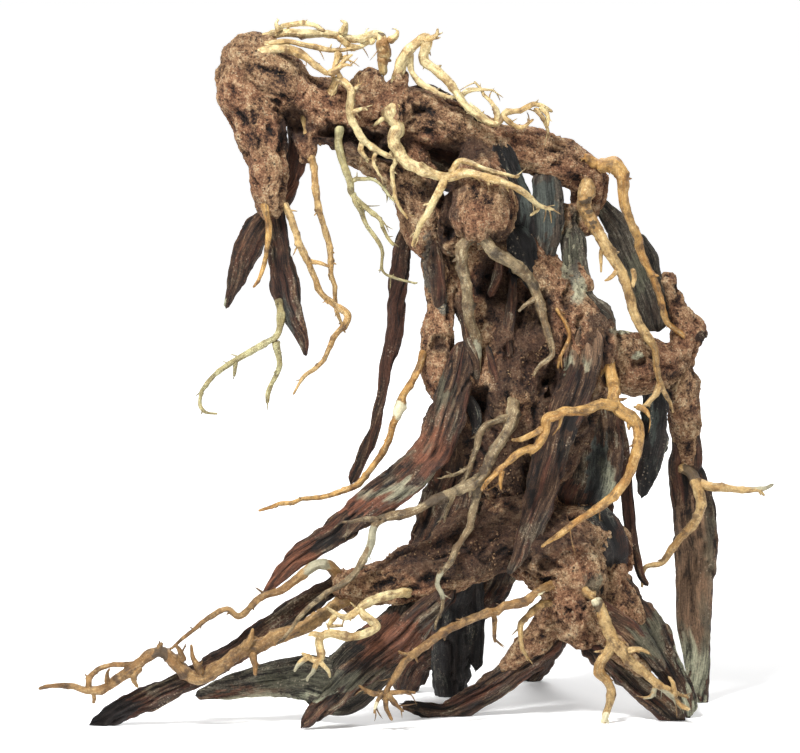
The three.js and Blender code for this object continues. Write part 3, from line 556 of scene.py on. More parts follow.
def build_mesh(name, points, faces, values=None, smooth=True):
    """A mesh object at the origin from points in millimetres and rows of vertex numbers."""
    mesh = bpy.data.meshes.new(name)
    faces = [block for block in faces if len(block)]
    sizes = np.concatenate([np.full(len(block), block.shape[1]) for block in faces])
    corners = np.concatenate([block.ravel() for block in faces])
    mesh.vertices.add(len(points))
    mesh.loops.add(len(corners))
    mesh.polygons.add(len(sizes))
    mesh.vertices.foreach_set("co", (points * MM).astype(np.float32).ravel())
    mesh.loops.foreach_set("vertex_index", corners.astype(np.int32))
    starts = np.concatenate([[0], np.cumsum(sizes)[:-1]])
    mesh.polygons.foreach_set("loop_start", starts.astype(np.int32))
    mesh.polygons.foreach_set("use_smooth", np.full(len(sizes), smooth))
    mesh.update(calc_edges=True)
    mesh.validate()
    for key, value in (values or {}).items():
        store(mesh, key, value)
    piece = bpy.data.objects.new(name, mesh)
    bpy.context.scene.collection.objects.link(piece)
    return piece


def store(mesh, key, value):
    """Keeps one number, one vector or one colour for each vertex under a name."""
    width = 1 if value.ndim == 1 else value.shape[1]
    kind, field = {1: ("FLOAT", "value"), 3: ("FLOAT_VECTOR", "vector"), 4: ("FLOAT_COLOR", "color")}[width]
    attribute = mesh.attributes.new(key, kind, "POINT")
    attribute.data.foreach_set(field, value.astype(np.float32).ravel())


# ---------------------------------------------------------------- paint
# Stained places and places of painted shade, on the photograph's plane: (across, up, half across, half up), in
# millimetres.
# Places of the crust that lie in the dark, where its colour is darkened as painted shade.
CRUST_SHADE = [
    (60, 188, 14, 26), (40, 160, 14, 12), (60, 130, 20, 26), (48, 226, 14, 14), (20, 268, 14, 8),
    (60, 96, 40, 16), (20, 84, 30, 14), (100, 190, 8, 20), (30, 186, 8, 14), (-52, 300, 10, 8),
    (58, 200, 8, 26), (70, 176, 12, 14), (84, 150, 22, 30), (30, 204, 4, 14), (34, 100, 24, 14), (48, 84, 30, 10),
    (-20, 292, 26, 7), (30, 288, 20, 6), (22, 250, 3, 16),
    (72, 206, 6, 20), (52, 244, 9, 5), (26, 262, 4, 10), (62, 172, 16, 7), (40, 140, 26, 16), (100, 204, 8, 5), (54, 206, 12, 26),
]
CRUST_STAINS = {
    "rust": [(2, 312, 14, 6), (50, 300, 14, 5), (86, 206, 12, 14), (30, 262, 7, 10), (60, 150, 10, 16),
             (-60, 320, 14, 9), (140, 180, 8, 16), (60, 84, 14, 8), (90, 62, 8, 14), (20, 296, 16, 5), (96, 262, 5, 12)],
    # Most black places lie in the hollows and the gaps between limbs, where they are painted shade; the others are
    # charred crust.
    "black": [(-57, 297, 3, 11), (-28, 296, 10, 3.5), (66, 238, 4, 8), (77, 171, 3, 10), (152, 195, 4, 4), (52, 286, 5, 7), (-18, 293, 9, 5)],
    "moss": [(18, 224, 5, 13), (97, 72, 7, 7), (30, 236, 4, 4), (86, 240, 7, 24)],
    "teal": [(15, 232, 4, 14), (21, 212, 3, 10), (88, 226, 3, 12)],
    "lichen": [(111, 199, 6, 5), (118, 186, 4, 3), (84, 236, 3, 12), (90, 218, 3, 6)],
    "wine": [(12, 291, 13, 5), (32, 287, 13, 6), (-50, 296, 8, 8), (70, 92, 12, 6), (130, 162, 8, 8), (20, 236, 7, 14), (48, 172, 8, 12), (44, 222, 8, 10)],
}
WOOD_STAINS = {
    "tan": [(146, 78, 13, 44), (94, 188, 14, 12)],
    "ember": [(-10, 114, 26, 10), (-48, 84, 16, 8), (-58, 74, 14, 8), (12, 132, 12, 12), (-74, 14, 24, 6), (-4, 44, 22, 10)],
    "wine": [(24, 289, 22, 9), (-52, 280, 8, 22), (-58, 215, 8, 30), (-4, 200, 8, 60), (114, 110, 6, 40)],
    "rust": [(-50, 84, 22, 12), (12, 142, 16, 14), (20, 152, 8, 20), (-52, 262, 8, 20), (-76, 236, 8, 16), (-4, 40, 24, 22), (-70, 240, 8, 10)],
    "black": [(51, 285, 7, 10), (62, 234, 8, 14), (-150, 5, 20, 14), (126, 118, 6, 14), (98, 120, 6, 14),
              (70, 250, 4, 8), (84, 150, 5, 8)],
    "teal": [(64, 262, 6, 16), (73, 258, 7, 18), (99, 128, 8, 16), (127, 150, 5, 10), (-58, 206, 3, 10)],
    "moss": [(127, 46, 14, 14), (-40, 22, 40, 7), (22, 166, 5, 14), (2, 136, 12, 3), (86, 232, 5, 22), (-92, 42, 10, 6),
             (118, 226, 5, 16), (154, 96, 3, 26), (152, 40, 3, 30)],
    "lichen": [(84, 184, 2.4, 6), (92, 180, 2, 4), (105, 125, 5, 8), (147, 32, 9, 14), (-4, 118, 16, 4), (-87, 210, 4, 5), (-60, 14, 30, 3),
               (147, 10, 8, 9)],
}
TWIG_STAINS = {
    "cup": [(-9, 339, 7, 5), (-10, 333, 5, 4), (-2, 316, 5, 4), (120, 282, 4, 3), (138, 110, 6, 6), (61, 166, 4, 4)],
    "bark": [(92, 262, 2.4, 1.6), (94, 256, 2, 1.4), (96, 251, 2, 1.3), (-8, 345, 3, 1.5), (144, 128, 5, 4),
             (-120, 36, 5, 4), (-96, 46, 4, 6), (99, 60, 4, 5), (40, 130, 5, 4), (18, 113, 8, 3)],
    "cut": [(2.5, 306.5, 3, 2), (71.5, 66, 3, 2.5), (97, 63, 3, 2.5), (101.5, 4, 4, 3), (0, 159, 4.5, 5),
            (4, 1, 4, 3), (-12, 9, 3, 3), (14, 6, 3, 3)],
    "ash": [(38, 186, 5, 10), (-42, 80, 8, 5), (-20, 96, 8, 6), (-12, 88, 6, 10), (185, 119, 8, 5), (130, 12, 8, 6),
            (55, 178, 5, 5), (22, 70, 6, 8), (-50, 24, 9, 8)],
}
# How ragged and how ribbed some strips are, against 1 for the others.
WOOD_LOOKS = {"grey_plank": (0.3, 0.5), "left_root": (0.7, 0.9), "hanging_strip": (0.7, 0.8), "right_leg": (0.4, 0.6), "outer_plank": (0.4, 0.5), "mid_plank": (0.7, 0.8), "long_strip": (0.7, 0.8),
              "hollow_slab": (1.2, 1.1), "grey_slab": (0.8, 0.7), "thin_strip": (0.6, 0.7)}
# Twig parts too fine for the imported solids.
TWIG_EXTRAS = {
    "crown_top_twig": [
        [(-9, 336, 0, 3.8), (-8.5, 330, 0, 3.4), (-8, 325, 0, 3)],
        [(-13, 341, -1, 3), (-16.5, 345, -2, 2), (-17, 348, -2, 1)],
        [(-6, 342, -2, 3), (-2, 345, -3, 2.2), (-1, 348, -3, 1.2)],
        [(-60, 347, -9, 2), (-62, 351, -10, 1.5), (-60.5, 353.5, -10, 0.8)],
        [(-30, 346, -6, 2), (-27, 351, -8, 1.5), (-30, 353, -8, 0.9)],
    ],
    "crown_front_twig": [
        [(-36, 326, -17, 2), (-28, 332, -19, 1.6), (-23.5, 336, -19, 0.9)],
        [(-34, 325, -17, 1.8), (-28, 330, -20, 1.3), (-24, 330, -20, 0.7)],
    ],
    "shoulder_twig": [
        [(91.5, 263, -6, 3.2), (91.2, 263, -9, 3.3), (91, 263, -10.5, 3)],
        [(93.5, 256.5, -5, 3), (93.5, 256.5, -9, 3.2), (93.5, 256.5, -10.2, 2.8)],
        [(95.5, 251, -5, 2.8), (95.5, 251, -8.5, 3), (95.5, 251, -9.8, 2.6)],
        [(116, 229, -3, 1.6), (117.5, 224, -4, 1.5), (116.5, 219, -4, 1.1)],
        [(110, 229, -4, 1.8), (105, 224, -5, 1.4), (102, 222.5, -5, 0.8)],
    ],
    "yellow_branch": [
        [(78, 209, -15, 1), (82.5, 201.5, -16, 1.2), (84.5, 195, -17, 1.3), (82.5, 189, -18, 1.2), (79.5, 181, -19, 1.1),
         (79, 178.5, -19, 1)],
        [(118, 160, -25, 2), (123, 158, -27, 1.6), (125, 154, -27, 1)],
    ],
    "long_left_twig": [
        [(-79, 38, -44, 2.6), (-75, 43, -47, 2.1), (-73.5, 49, -48, 1.2)],
        [(-74, 37, -45, 2.4), (-72, 31, -48, 2), (-72.5, 25, -49, 1.3)],
        [(-130, 30, -46, 2.4), (-133, 24, -48, 1.8), (-131, 19, -48, 1)],
        [(-146, 21, -46, 1.8), (-147, 26, -47, 1.3), (-145, 29, -47, 0.8)],
        [(-108, 32, -46, 2.2), (-110, 38, -47, 1.7), (-113, 41, -47, 1)],
    ],
    "cream_twig": [
        [(-38, 44, -54, 2.6), (-43, 46.5, -56, 2), (-46, 45, -57, 1.2)],
        [(-44, 35, -55, 2), (-50, 31, -57, 1.5), (-53, 27, -57, 0.9)],
        [(-41, 33, -55, 1.8), (-36, 28, -57, 1.4), (-35, 24, -57, 0.8)],
    ],
    "long_front_twig": [
        [(-7, 17, -53, 1.8), (-3, 11, -54, 1.5), (2, 7, -54, 0.9)],
        [(-8, 18, -53, 1.5), (-12, 12, -54, 1.2), (-13, 6, -54, 0.8)],
        [(10, 38, -50, 1.6), (3, 36.5, -52, 1.2), (-1, 37.5, -53, 0.7)],
    ],
    "bottom_right_twig": [
        [(112, 37, -32, 2), (120, 38, -34, 1.6), (125, 36, -34, 1)],
        [(138, 14, -33, 1.6), (137, 22, -34, 1.3), (134, 25, -34, 0.8)],
        [(97, 64, -24, 2.8), (93, 68, -26, 2.4), (91, 72, -26, 1.6)],
    ],
    "top_right_twig": [
        [(70, 310, -7, 1.9), (73.5, 305, -8, 1.5), (74, 299.5, -8, 0.9)],
        [(41, 303, -12, 1.7), (39, 308, -13, 1.4), (35, 312, -13, 0.8)],
        [(12, 342, -9, 2.2), (18, 345, -10, 1.7), (19, 349, -10, 1)],
    ],
    "looping_twig": [
        [(-24, 306, -19, 1.6), (-19, 309, -21, 1.2), (-16, 308, -21, 0.7)],
        [(-5, 285, -14, 1.4), (-3, 291, -15, 1.1), (-5, 295, -15, 0.7)],
        [(-12, 288, -15, 1.3), (-13, 281, -17, 1), (-10, 275, -17, 0.6)],
    ],
    "orange_twig": [
        [(99, 280, 3, 3.4), (95, 284, 2, 3), (92, 286, 2, 2)],
    ],
}
# How thick some twigs are drawn, against 1 for the others.
TWIG_WIDTHS = {"front_twig": 0.9, "top_right_twig": 0.92, "shoulder_twig": 0.92, "orange_twig": 0.94,
               "trailing_twig": 0.92, "short_hanging_twig": 0.86, "yellow_twig": 0.92, "crown_top_twig": 0.82, "crown_front_twig": 0.84, "forked_twig": 0.88, "straight_twig": 0.88,
               "left_bent_twig": 0.9, "long_grey_arm": 0.92, "right_twig": 0.9, "cream_twig": 0.92}
# Fine rootlets on a twig's main stem, half as many on each side shoot.
HAIRY_TWIGS = {"front_twig": 8, "top_right_twig": 4, "looping_twig": 4, "drooping_twig": 5, "trailing_twig": 3,
               "long_front_twig": 4, "white_tip_twig": 3, "long_grey_arm": 4, "yellow_branch": 3, "bottom_right_twig": 3,
               "crown_top_twig": 3, "crown_front_twig": 3}
STAIN_COLOURS = {
    "cup": (134, 98, 56), "cut": (214, 206, 172), "ash": (150, 146, 122), "bark": (70, 56, 40),
    "black": (24, 22, 22), "wine": (74, 45, 33), "teal": (78, 84, 78), "moss": (98, 96, 78),
    "lichen": (176, 176, 148), "rust": (116, 74, 52), "shade": (66, 44, 32), "tan": (138, 108, 82), "ember": (128, 80, 58),
}
STAIN_STRENGTH = {"cup": 0.5, "cut": 0.75, "ash": 0.7, "bark": 0.75, "black": 0.95, "wine": 0.6, "teal": 0.85, "moss": 0.62, "lichen": 0.72, "rust": 0.4, "shade": 0.85, "tan": 0.75, "ember": 0.6}
# Hollows sunk into the crust: (across, up, half across, half up, depth), in millimetres. Their depth also darkens the
# crust's colour as painted shade.
HOLLOWS = [(48, 223, 8, 11, 9), (39, 160, 5.5, 9, 8), (77, 171, 3.2, 12, 8), (62, 240, 4, 8, 8), (-33, 297, 8, 4, 9), (-18, 293, 9, 4.5, 10), (-4, 287, 7, 4, 8), (23, 256, 2.5, 12, 7), (72, 208, 2.5, 10, 6), (84, 214, 2, 6, 4), (90, 198, 2, 7, 4), (-57, 296, 3, 12, 6),
           (28, 172, 4, 7, 6), (58, 206, 4, 6, 6), (66, 124, 5, 9, 7), (30, 92, 7, 4, 6), (56, 186, 3, 6, 5),
           (-52, 303, 5, 7, 8), (104, 176, 4, 5, 6), (-34, 322, 4, 3, 4), (9, 308, 4, 2.5, 4), (84, 190, 3, 5, 4),
           (72, 80, 4, 4, 5), (120, 182, 4, 3, 4), (66, 215, 3, 5, 5), (20, 190, 3, 5, 4)]


def covered(points, places):
    """How far each point lies inside a list of ragged ovals, from 0 to 1."""
    across, up = seen(points)
    across = across + 3.0 * layered(points, 9, 301) + 1.2 * noise(points, 2.6, 302)
    up = up + 3.0 * layered(points, 9, 311) + 1.2 * noise(points, 2.6, 312)
    away = np.full(len(points), 9.0)
    for x, y, wide, high in places:
        away = np.minimum(away, np.hypot((across - x) / wide, (up - y) / high))
    return np.clip((1.2 - away + layered(points, 3.2, 321) * 0.35) * 1.6, 0, 1)


def painted(points, stains, flow=None, rows=None):
    """A stain colour for each point, with its cover as the fourth number. Along a grain it runs in streaks."""
    if flow is not None:
        points = points + flow * (9 * noise(rows, (2.4, 2.8, 70), 331) + 5 * noise(rows, (1.1, 1.4, 30), 341))[:, None]
    colour = np.zeros((len(points), 4))
    for stain, places in stains.items():
        cover = covered(points, places) * STAIN_STRENGTH[stain]
        held = cover[:, None]
        colour[:, :3] = colour[:, :3] * (1 - held) + np.array(linear(STAIN_COLOURS[stain])) * held
        colour[:, 3] = 1 - (1 - colour[:, 3]) * (1 - cover)
    colour[:, :3] /= np.maximum(colour[:, 3:4], 0.02)
    return np.clip(colour, 0, 1)


def sunk(points, normals):
    """How far the hollows push each point away from the viewer, and how deep it then lies from 0 to 1."""
    across, up = seen(points)
    across = across + 2.0 * noise(points, 6, 351) + 1.0 * noise(points, 2.5, 352)
    up = up + 2.0 * noise(points, 6, 361) + 1.0 * noise(points, 2.5, 362)
    push = np.zeros(len(points))
    for x, y, wide, high, depth in HOLLOWS:
        away = np.hypot((across - x) / wide, (up - y) / high)
        push = np.maximum(push, depth * np.clip((1.2 - away) * 2.2, 0, 1) ** 0.8)
    push = push * np.clip(0.15 - normals[:, 1], 0, 1)
    return push, np.clip(push / 6, 0, 1)


# ---------------------------------------------------------------- pieces
# Webs of crust that join the limbs and run out on the wood.
CRUST_WEBS = {
    "crust_upper": [
        [(-40, 306, 0, 13), (-24, 307, 0, 13.5), (-8, 308, 0, 12.5)],
        [(-85, 334, -4, 10), (-79, 316, -5, 12.5), (-72, 299, -6, 10.5), (-68, 280, -7, 8.5), (-66, 262, -8, 7.6),
         (-65, 252, -8, 4)],
        [(-53, 314, -3, 11), (-49, 302, -4, 7), (-47.5, 291, -6, 5), (-46.5, 281, -7, 3.4)],
        [(-52, 312, -2, 11), (-38, 303, -1, 9.5), (-28, 299, -1, 9)],
        [(-32, 304, -3, 8), (-30.5, 296, -6, 6), (-30.5, 289, -9, 4)],
        [(-24, 297, 0, 11), (0, 281, 0, 12.5), (11, 262, 0, 11.5), (17, 246, 2, 10), (21, 238, 0, 7)],
        [(38, 290, 3, 9), (41, 277, -6, 11), (41, 262, -12, 16.5), (40, 252, -12, 17), (38, 242, -8, 12)],
        [(16, 246, 4, 8), (27, 244, 3, 8), (36, 248, 0, 9)],
        [(50, 290, 6, 11), (64, 288, 8, 11), (80, 283, 10, 12)],
        [(-14, 300, 0, 9), (6, 303, 0, 11), (22, 296, 2, 10)],
        [(-3, 316, -3, 7), (-1, 323, -5, 5.5), (0, 329, -6, 4.5)],
        [(-4, 312, -8, 7), (-1, 306, -13, 5.5), (-1, 300, -15, 5)],
    ],
    "crust_middle": [
        [(38, 244, 6, 12), (36, 226, 6, 9), (38, 204, 4, 9), (46, 190, 2, 12)],
        [(60, 250, 8, 8), (66, 236, 4, 9), (74, 222, 2, 11), (84, 206, 2, 14)],
        [(62, 200, 4, 12), (76, 190, 2, 14), (92, 180, 4, 14), (106, 180, 8, 11)],
        [(20, 182, 0, 9), (34, 172, 0, 11), (48, 160, 2, 13)],
        [(26, 158, -4, 8), (36, 140, -2, 11), (48, 120, 2, 14)],
        [(17, 240, 3, 6), (18, 226, 2, 6.5), (20, 210, 0, 7), (19, 198, -1, 8.5)],
        [(62, 232, 9, 8), (61, 214, 9, 9), (62, 196, 7, 10)],
        [(100, 190, 6, 12), (112, 185, 11, 12), (126, 183, 17, 11), (138, 185, 23, 8)],
        [(142, 156, 29, 8), (143, 142, 30, 6.5), (144, 128, 30, 3)],
        [(142, 200, 23, 8), (147, 196, 23, 7), (150, 190, 24, 5)],
        [(84, 262, 7, 5), (86, 248, 6, 5), (88, 232, 4, 5), (92, 216, 0, 7)],
    ],
    "crust_lower": [
        [(20, 80, -20, 12), (40, 88, -14, 14), (60, 94, -8, 15), (84, 96, -2, 15), (104, 92, 4, 11)],
        [(44, 110, 0, 14), (58, 106, 0, 15), (80, 106, 0, 13)],
        [(74, 60, -14, 10), (86, 66, -14, 14), (100, 66, -10, 10)],
        [(36, 108, -8, 9), (28, 96, -14, 10), (16, 84, -20, 10), (2, 78, -24, 9), (-14, 70, -28, 7), (-30, 60, -30, 4)],
        [(82, 62, -12, 11), (72, 48, -10, 8.5), (60, 36, -10, 6), (50, 27, -10, 3)],
        [(92, 62, -14, 12), (104, 48, -17, 9.5), (114, 36, -20, 7), (124, 24, -22, 3)],
        [(100, 74, -2, 11), (112, 60, -5, 8.5), (122, 48, -8, 5)],
        [(84, 60, -14, 13), (90, 48, -16, 10), (95, 38, -17, 6)],
    ],
}


def finish_piece(piece, nodes, material):
    """Gives a piece its material, hangs it on its body and hides the imported nodes that it stands for."""
    piece.data.materials.clear()
    piece.data.materials.append(material)
    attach(piece, BODY)
    if nodes:
        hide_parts(*nodes)
    return piece


def baked(source, name):
    """A plain mesh object with everything that the source's modifiers make."""
    source.data.update()
    graph = bpy.context.evaluated_depsgraph_get()
    mesh = bpy.data.meshes.new_from_object(source.evaluated_get(graph), depsgraph=graph)
    piece = bpy.data.objects.new(name, mesh)
    bpy.context.scene.collection.objects.link(piece)
    bpy.data.objects.remove(source)
    return piece


def crust_tube(surface, stroke):
    """A plain lumpy tube, to be fused with its neighbours."""
    path, radius, along = smooth_path(stroke, 2.0)
    _, side, face = cross_frames(path, False)
    full = radius
    radius = radius * end_rounding(along, radius, 0.7)
    turn = np.linspace(0, 2 * math.pi, 28, endpoint=False)
    out = side[:, None] * np.cos(turn)[None, :, None] + face[:, None] * np.sin(turn)[None, :, None]
    heart = np.repeat(path[:, None], len(turn), axis=1)
    grown = heart + out * radius[:, None, None]
    swell = layered(grown.reshape(-1, 3), 16, 11).reshape(grown.shape[:2])
    grown = heart + out * (radius[:, None] * (1 + 0.2 * swell))[:, :, None]
    surface.grid(grown, out, {})
    return path, side, face, along, full


def limb_grain(points, paths):
    """Each point's place against the nearest limb: sideways, through and along it."""
    heart, side, face, along, full = [np.concatenate(part) for part in zip(*paths)]
    tree = KDTree(len(heart))
    for n, place in enumerate(heart):
        tree.insert(place, n)
    tree.balance()
    near = np.array([min(tree.find_n(point, 6), key=lambda hit: hit[2] - full[hit[1]])[1] for point in points])
    away = points - heart[near]
    return np.stack([(away * side[near]).sum(axis=1), (away * face[near]).sum(axis=1), along[near]], axis=1)


def crust_piece(name, limbs, sizes, material):
    """Limbs fused into one skin, then covered with lumps, grains and pits."""
    surface = Surface()
    paths = []
    for stroke in [stroke for limb in limbs for stroke in CRUST_LIMBS[limb]] + CRUST_WEBS[name]:
        paths.append(crust_tube(surface, stroke))
    points, _ = surface.joined()
    rough = build_mesh(name + "_rough", points, surface.quads + surface.caps)
    fuse = rough.modifiers.new("Fuse", "REMESH")
    fuse.mode = "VOXEL"
    fuse.voxel_size = sizes.crust_voxel
    soften = rough.modifiers.new("Soften", "SMOOTH")
    soften.factor = 0.5
    soften.iterations = 16
    piece = baked(rough, name)
    mesh = piece.data
    count = len(mesh.vertices)
    points = np.empty(count * 3, np.float32)
    mesh.vertices.foreach_get("co", points)
    normals = np.empty(count * 3, np.float32)
    mesh.vertices.foreach_get("normal", normals)
    points = points.reshape(-1, 3).astype(float) / MM
    normals = normals.reshape(-1, 3).astype(float)
    bend = np.stack([noise(points, 11, 60 + n) for n in range(3)], axis=1)
    warped = points + 2.4 * bend
    grain = limb_grain(points, paths) + 1.6 * bend
    lumps = layered(warped, 15, 21, 2) * 1.8
    knots = np.clip(pebbles(warped, 9, 31), -0.3, 1) * 0.8
    ribs = layered(grain, (3.4, 3.4, 15), 71, 3) * 1.25
    bark = layered(warped, 3.0, 81, 2) * 0.55
    plates = np.clip(pebbles(grain + bend, 5.2, 35), -0.8, 0.7)
    grains = np.clip(pebbles(points + bend, 2.1, 41), -0.5, 1) * 0.34
    holes = np.clip(layered(grain + 0.7 * bend, (4.6, 4.6, 9), 51, 2) - 0.24, 0, 1) * -6.0
    height = (lumps + knots + plates * 0.42 + ribs + bark + grains + holes + 0.25) * sizes.crust_relief
    push, depth = sunk(points, normals)
    moved = points + normals * height[:, None]
    moved[:, 1] += push
    moved[:, 2] = np.maximum(moved[:, 2], 0.2)
    mesh.vertices.foreach_set("co", (moved * MM).astype(np.float32).ravel())
    mesh.update()
    # Painted light and shade: relief lightens raised ribs, grains and plates in the colour and darkens dips and holes.
    relief = np.clip(0.52 + ribs * 0.24 + bark * 0.36 + grains * 0.4 + plates * 0.24 + holes * 0.2, 0, 1) 
    store(mesh, "relief", relief)
    store(mesh, "grain", grain)
    # Painted shade: the dark places and the depth of the hollows, kept to darken the crust's colour.
    store(mesh, "shade", np.maximum(covered(moved, CRUST_SHADE), depth))
    stain = painted(moved, CRUST_STAINS)
    store(mesh, "stain", stain)
    store(mesh, "bare", np.clip(1 - 1.3 * stain[:, 3] - 2 * depth, 0, 1))
    mesh.polygons.foreach_set("use_smooth", np.ones(len(mesh.polygons), bool))
    return finish_piece(piece, limbs, material)


def plank_tube(surface, stroke, thickness, seed, sizes, step, corners, look):
    """A weathered strip: flat, fibrous along its length, cracked and with ragged edges."""
    path, radius, along = smooth_path(stroke, step)
    tangent, side, face = cross_frames(path, True)
    full = radius.copy()
    ragged, ribbed = look
    rounding = end_rounding(along, radius, 0.7)
    radius = radius * rounding
    turn = np.linspace(0, 2 * math.pi, corners, endpoint=False)
    turn = turn - 0.16 * np.sin(4 * turn)
    flat_x = np.sign(np.cos(turn)) * np.abs(np.cos(turn)) ** 0.85
    flat_y = np.sign(np.sin(turn)) * np.abs(np.sin(turn)) ** 0.85
    shift = np.full(len(along), seed * 37.0)
    line = np.stack([along, shift, shift], axis=1)
    left = 1 + 0.26 * ragged * layered(line, 11, seed, 4)
    right = 1 + 0.26 * ragged * layered(line, 11, seed + 50, 4)
    wide = np.where(np.cos(turn)[None, :] < 0, left[:, None], right[:, None])
    twist = 0.22 * noise(line, 30, seed + 9)
    across_unit = flat_x[None, :] * wide
    through_unit = flat_y[None, :] * thickness * (1 + 0.25 * layered(line, 18, seed + 3)[:, None])
    a = across_unit * radius[:, None]
    b = through_unit * radius[:, None]
    turned_a = a * np.cos(twist)[:, None] - b * np.sin(twist)[:, None]
    turned_b = a * np.sin(twist)[:, None] + b * np.cos(twist)[:, None]
    points = path[:, None] + side[:, None] * turned_a[..., None] + face[:, None] * turned_b[..., None]
    out = unit(side[:, None] * (np.cos(turn)[None, :] * thickness)[..., None] + face[:, None] * np.sin(turn)[None, :, None])
    grain = np.stack([across_unit * full[:, None], through_unit * full[:, None],
                      np.repeat(along[:, None], corners, axis=1)], axis=-1)
    rows = grain.reshape(-1, 3) + seed * 61.0
    waved = rows.copy()
    waved[:, 0] += 2.4 * noise(rows, (40, 40, 22), seed + 5) + 0.8 * noise(rows, (12, 12, 9), seed + 6)
    ribs = layered(waved, (2.1, 2.6, 34), seed + 7, 2)
    fine = noise(waved, (0.8, 1.1, 11), seed + 8)
    split = np.abs(noise(waved, (4.5, 5, 48), seed + 12))
    cracks = np.clip(1 - split / 0.13, 0, 1)
    worn = layered(rows, 8, seed + 14)
    height = (ribs * 0.95 + fine * 0.6 - cracks * 1.7 + worn * 0.8 * ragged) * sizes.fibre_depth * ribbed
    height = height * np.clip(full.repeat(corners) / 6, 0.3, 1.2)
    shaped = points.reshape(-1, 3) + out.reshape(-1, 3) * height[:, None]
    ends = (1 - rounding) * np.where(along < along[-1] / 2, -1, 1)
    tooth = np.clip(layered(waved, (1.9, 2.4, 200), seed + 15, 2) + 0.2, -0.3, 1).reshape(points.shape[:2])
    splinter = tooth * (ends * np.minimum(full, 7))[:, None] * ragged
    shaped = shaped + (tangent[:, None] * splinter[..., None]).reshape(-1, 3)
    shaped[:, 2] = np.maximum(shaped[:, 2], 0.15)
    # Painted light and shade: relief lightens the ribs in the colour and darkens the cracks.
    relief = np.clip(0.5 + ribs * 0.3 + fine * 0.18 - cracks * 0.5, 0, 1)
    shape = points.shape
    flow = np.repeat(tangent[:, None], corners, axis=1)
    surface.grid(shaped.reshape(shape), out,
                 {"grain": waved.reshape(shape), "relief": relief.reshape(shape[:2]), "flow": flow})


def plank_piece(name, strokes, thickness, seed, sizes, material):
    surface = Surface()
    step, corners = (1.3, 40) if thickness > 0.5 else (0.85, 48)
    for n, stroke in enumerate(strokes):
        plank_tube(surface, stroke, thickness, seed + n * 17, sizes, step, corners, WOOD_LOOKS.get(name, (1, 1)))
    points, values = surface.joined()
    values["relief"] = values["relief"][:, 0]
    values["stain"] = painted(points, WOOD_STAINS, values.pop("flow"), values["grain"])
    piece = build_mesh("wood_" + name, points, surface.quads + surface.caps, values)
    return finish_piece(piece, [name], material)


def lump_piece(name, strokes, seed, sizes, material):
    """A smooth charred lump that the solids leave out."""
    surface = Surface()
    for n, stroke in enumerate(strokes):
        plank_tube(surface, stroke, 0.6, seed + n, sizes, 0.9, 36, (0.9, 0.8))
    points, values = surface.joined()
    values["relief"] = values["relief"][:, 0]
    values["stain"] = painted(points, WOOD_STAINS, values.pop("flow"), values["grain"])
    return finish_piece(build_mesh(name, points, surface.quads + surface.caps, values), [], material)


def twig_tube(surface, stroke, seed, main, thick, sizes):
    """A twig with knots, kinks and swellings, which ends in a thin tip."""
    path, radius, along = smooth_path(stroke, 0.6)
    corners = 16 if main else 10
    draw = np.random.default_rng(seed)
    tangent, side, face = cross_frames(path, False)
    spacing = 4.6 + 1.5 * radius.mean()
    knots = np.cumsum(draw.uniform(0.4, 1.6, int(along[-1] / spacing) + 2)) * spacing - spacing * 0.4
    knots = knots[knots < along[-1] - 1.0]
    sides = draw.uniform(0, 2 * math.pi, len(knots))
    joints = np.concatenate([[0], knots, [along[-1]]])
    for way in (side, face):
        kink = draw.uniform(-1, 1, len(joints)) * 0.65 * radius.mean() ** 0.5
        kink[[0, -1]] = 0
        path = path + way * np.interp(along, joints, kink)[:, None]
    line = np.stack([along, np.full(len(along), seed * 13.0), np.zeros(len(along))], axis=1)
    swell = 0.95 + 0.1 * noise(line, 5.5, seed + 2) + 0.07 * noise(line, 1.6, seed + 3)
    if main:
        swell = swell + 0.3 * np.exp(-along / 2.5)
    taper = 1.05 - 0.3 * (along / along[-1]) ** 1.5
    radius = radius * swell * taper * end_rounding(along, radius, 0.9) * thick * sizes.twig_thickness
    turn = np.linspace(0, 2 * math.pi, corners, endpoint=False)
    knob, scar = np.zeros((2, len(along), corners))
    for knot, lean in zip(knots, sides):
        past = along - knot
        width = np.where(past < 0, 0.7 + 0.2 * radius.mean(), 0.7 + 0.5 * radius.mean())
        bump = (np.exp(-(past / width) ** 2) * draw.uniform(0.1, 1.0) ** 1.5)[:, None]
        facing = np.clip(np.cos(turn - lean), 0, 1)[None, :]
        knob = np.maximum(knob, bump * (0.25 + 0.75 * facing))
        scar = np.maximum(scar, bump * facing)
    out = side[:, None] * np.cos(turn)[None, :, None] + face[:, None] * np.sin(turn)[None, :, None]
    round_grain = np.stack([np.cos(turn)[None, :] * radius[:, None], np.sin(turn)[None, :] * radius[:, None],
                            np.repeat(along[:, None], corners, axis=1)], axis=-1) + seed * 29.0
    rows = round_grain.reshape(-1, 3)
    ribs = noise(rows, (0.9, 0.9, 9), seed + 6)
    lumps = (0.12 * noise(rows, (1.5, 1.5, 3), seed + 7) + 0.1 * ribs).reshape(len(along), corners)
    grown = out * (radius[:, None] * (1 + lumps + 0.42 * knob))[..., None]
    points = path[:, None] + grown
    points[..., 2] = np.maximum(points[..., 2], 0.1)
    # Painted light and shade: relief lightens the twig's lumps in the colour and darkens its dents.
    relief = np.clip(0.5 + 2.2 * lumps, 0, 1)
    surface.grid(points, out, {"grain": round_grain, "relief": relief, "joint": scar})
    return path, along, radius, knots, sides, tangent, side, face


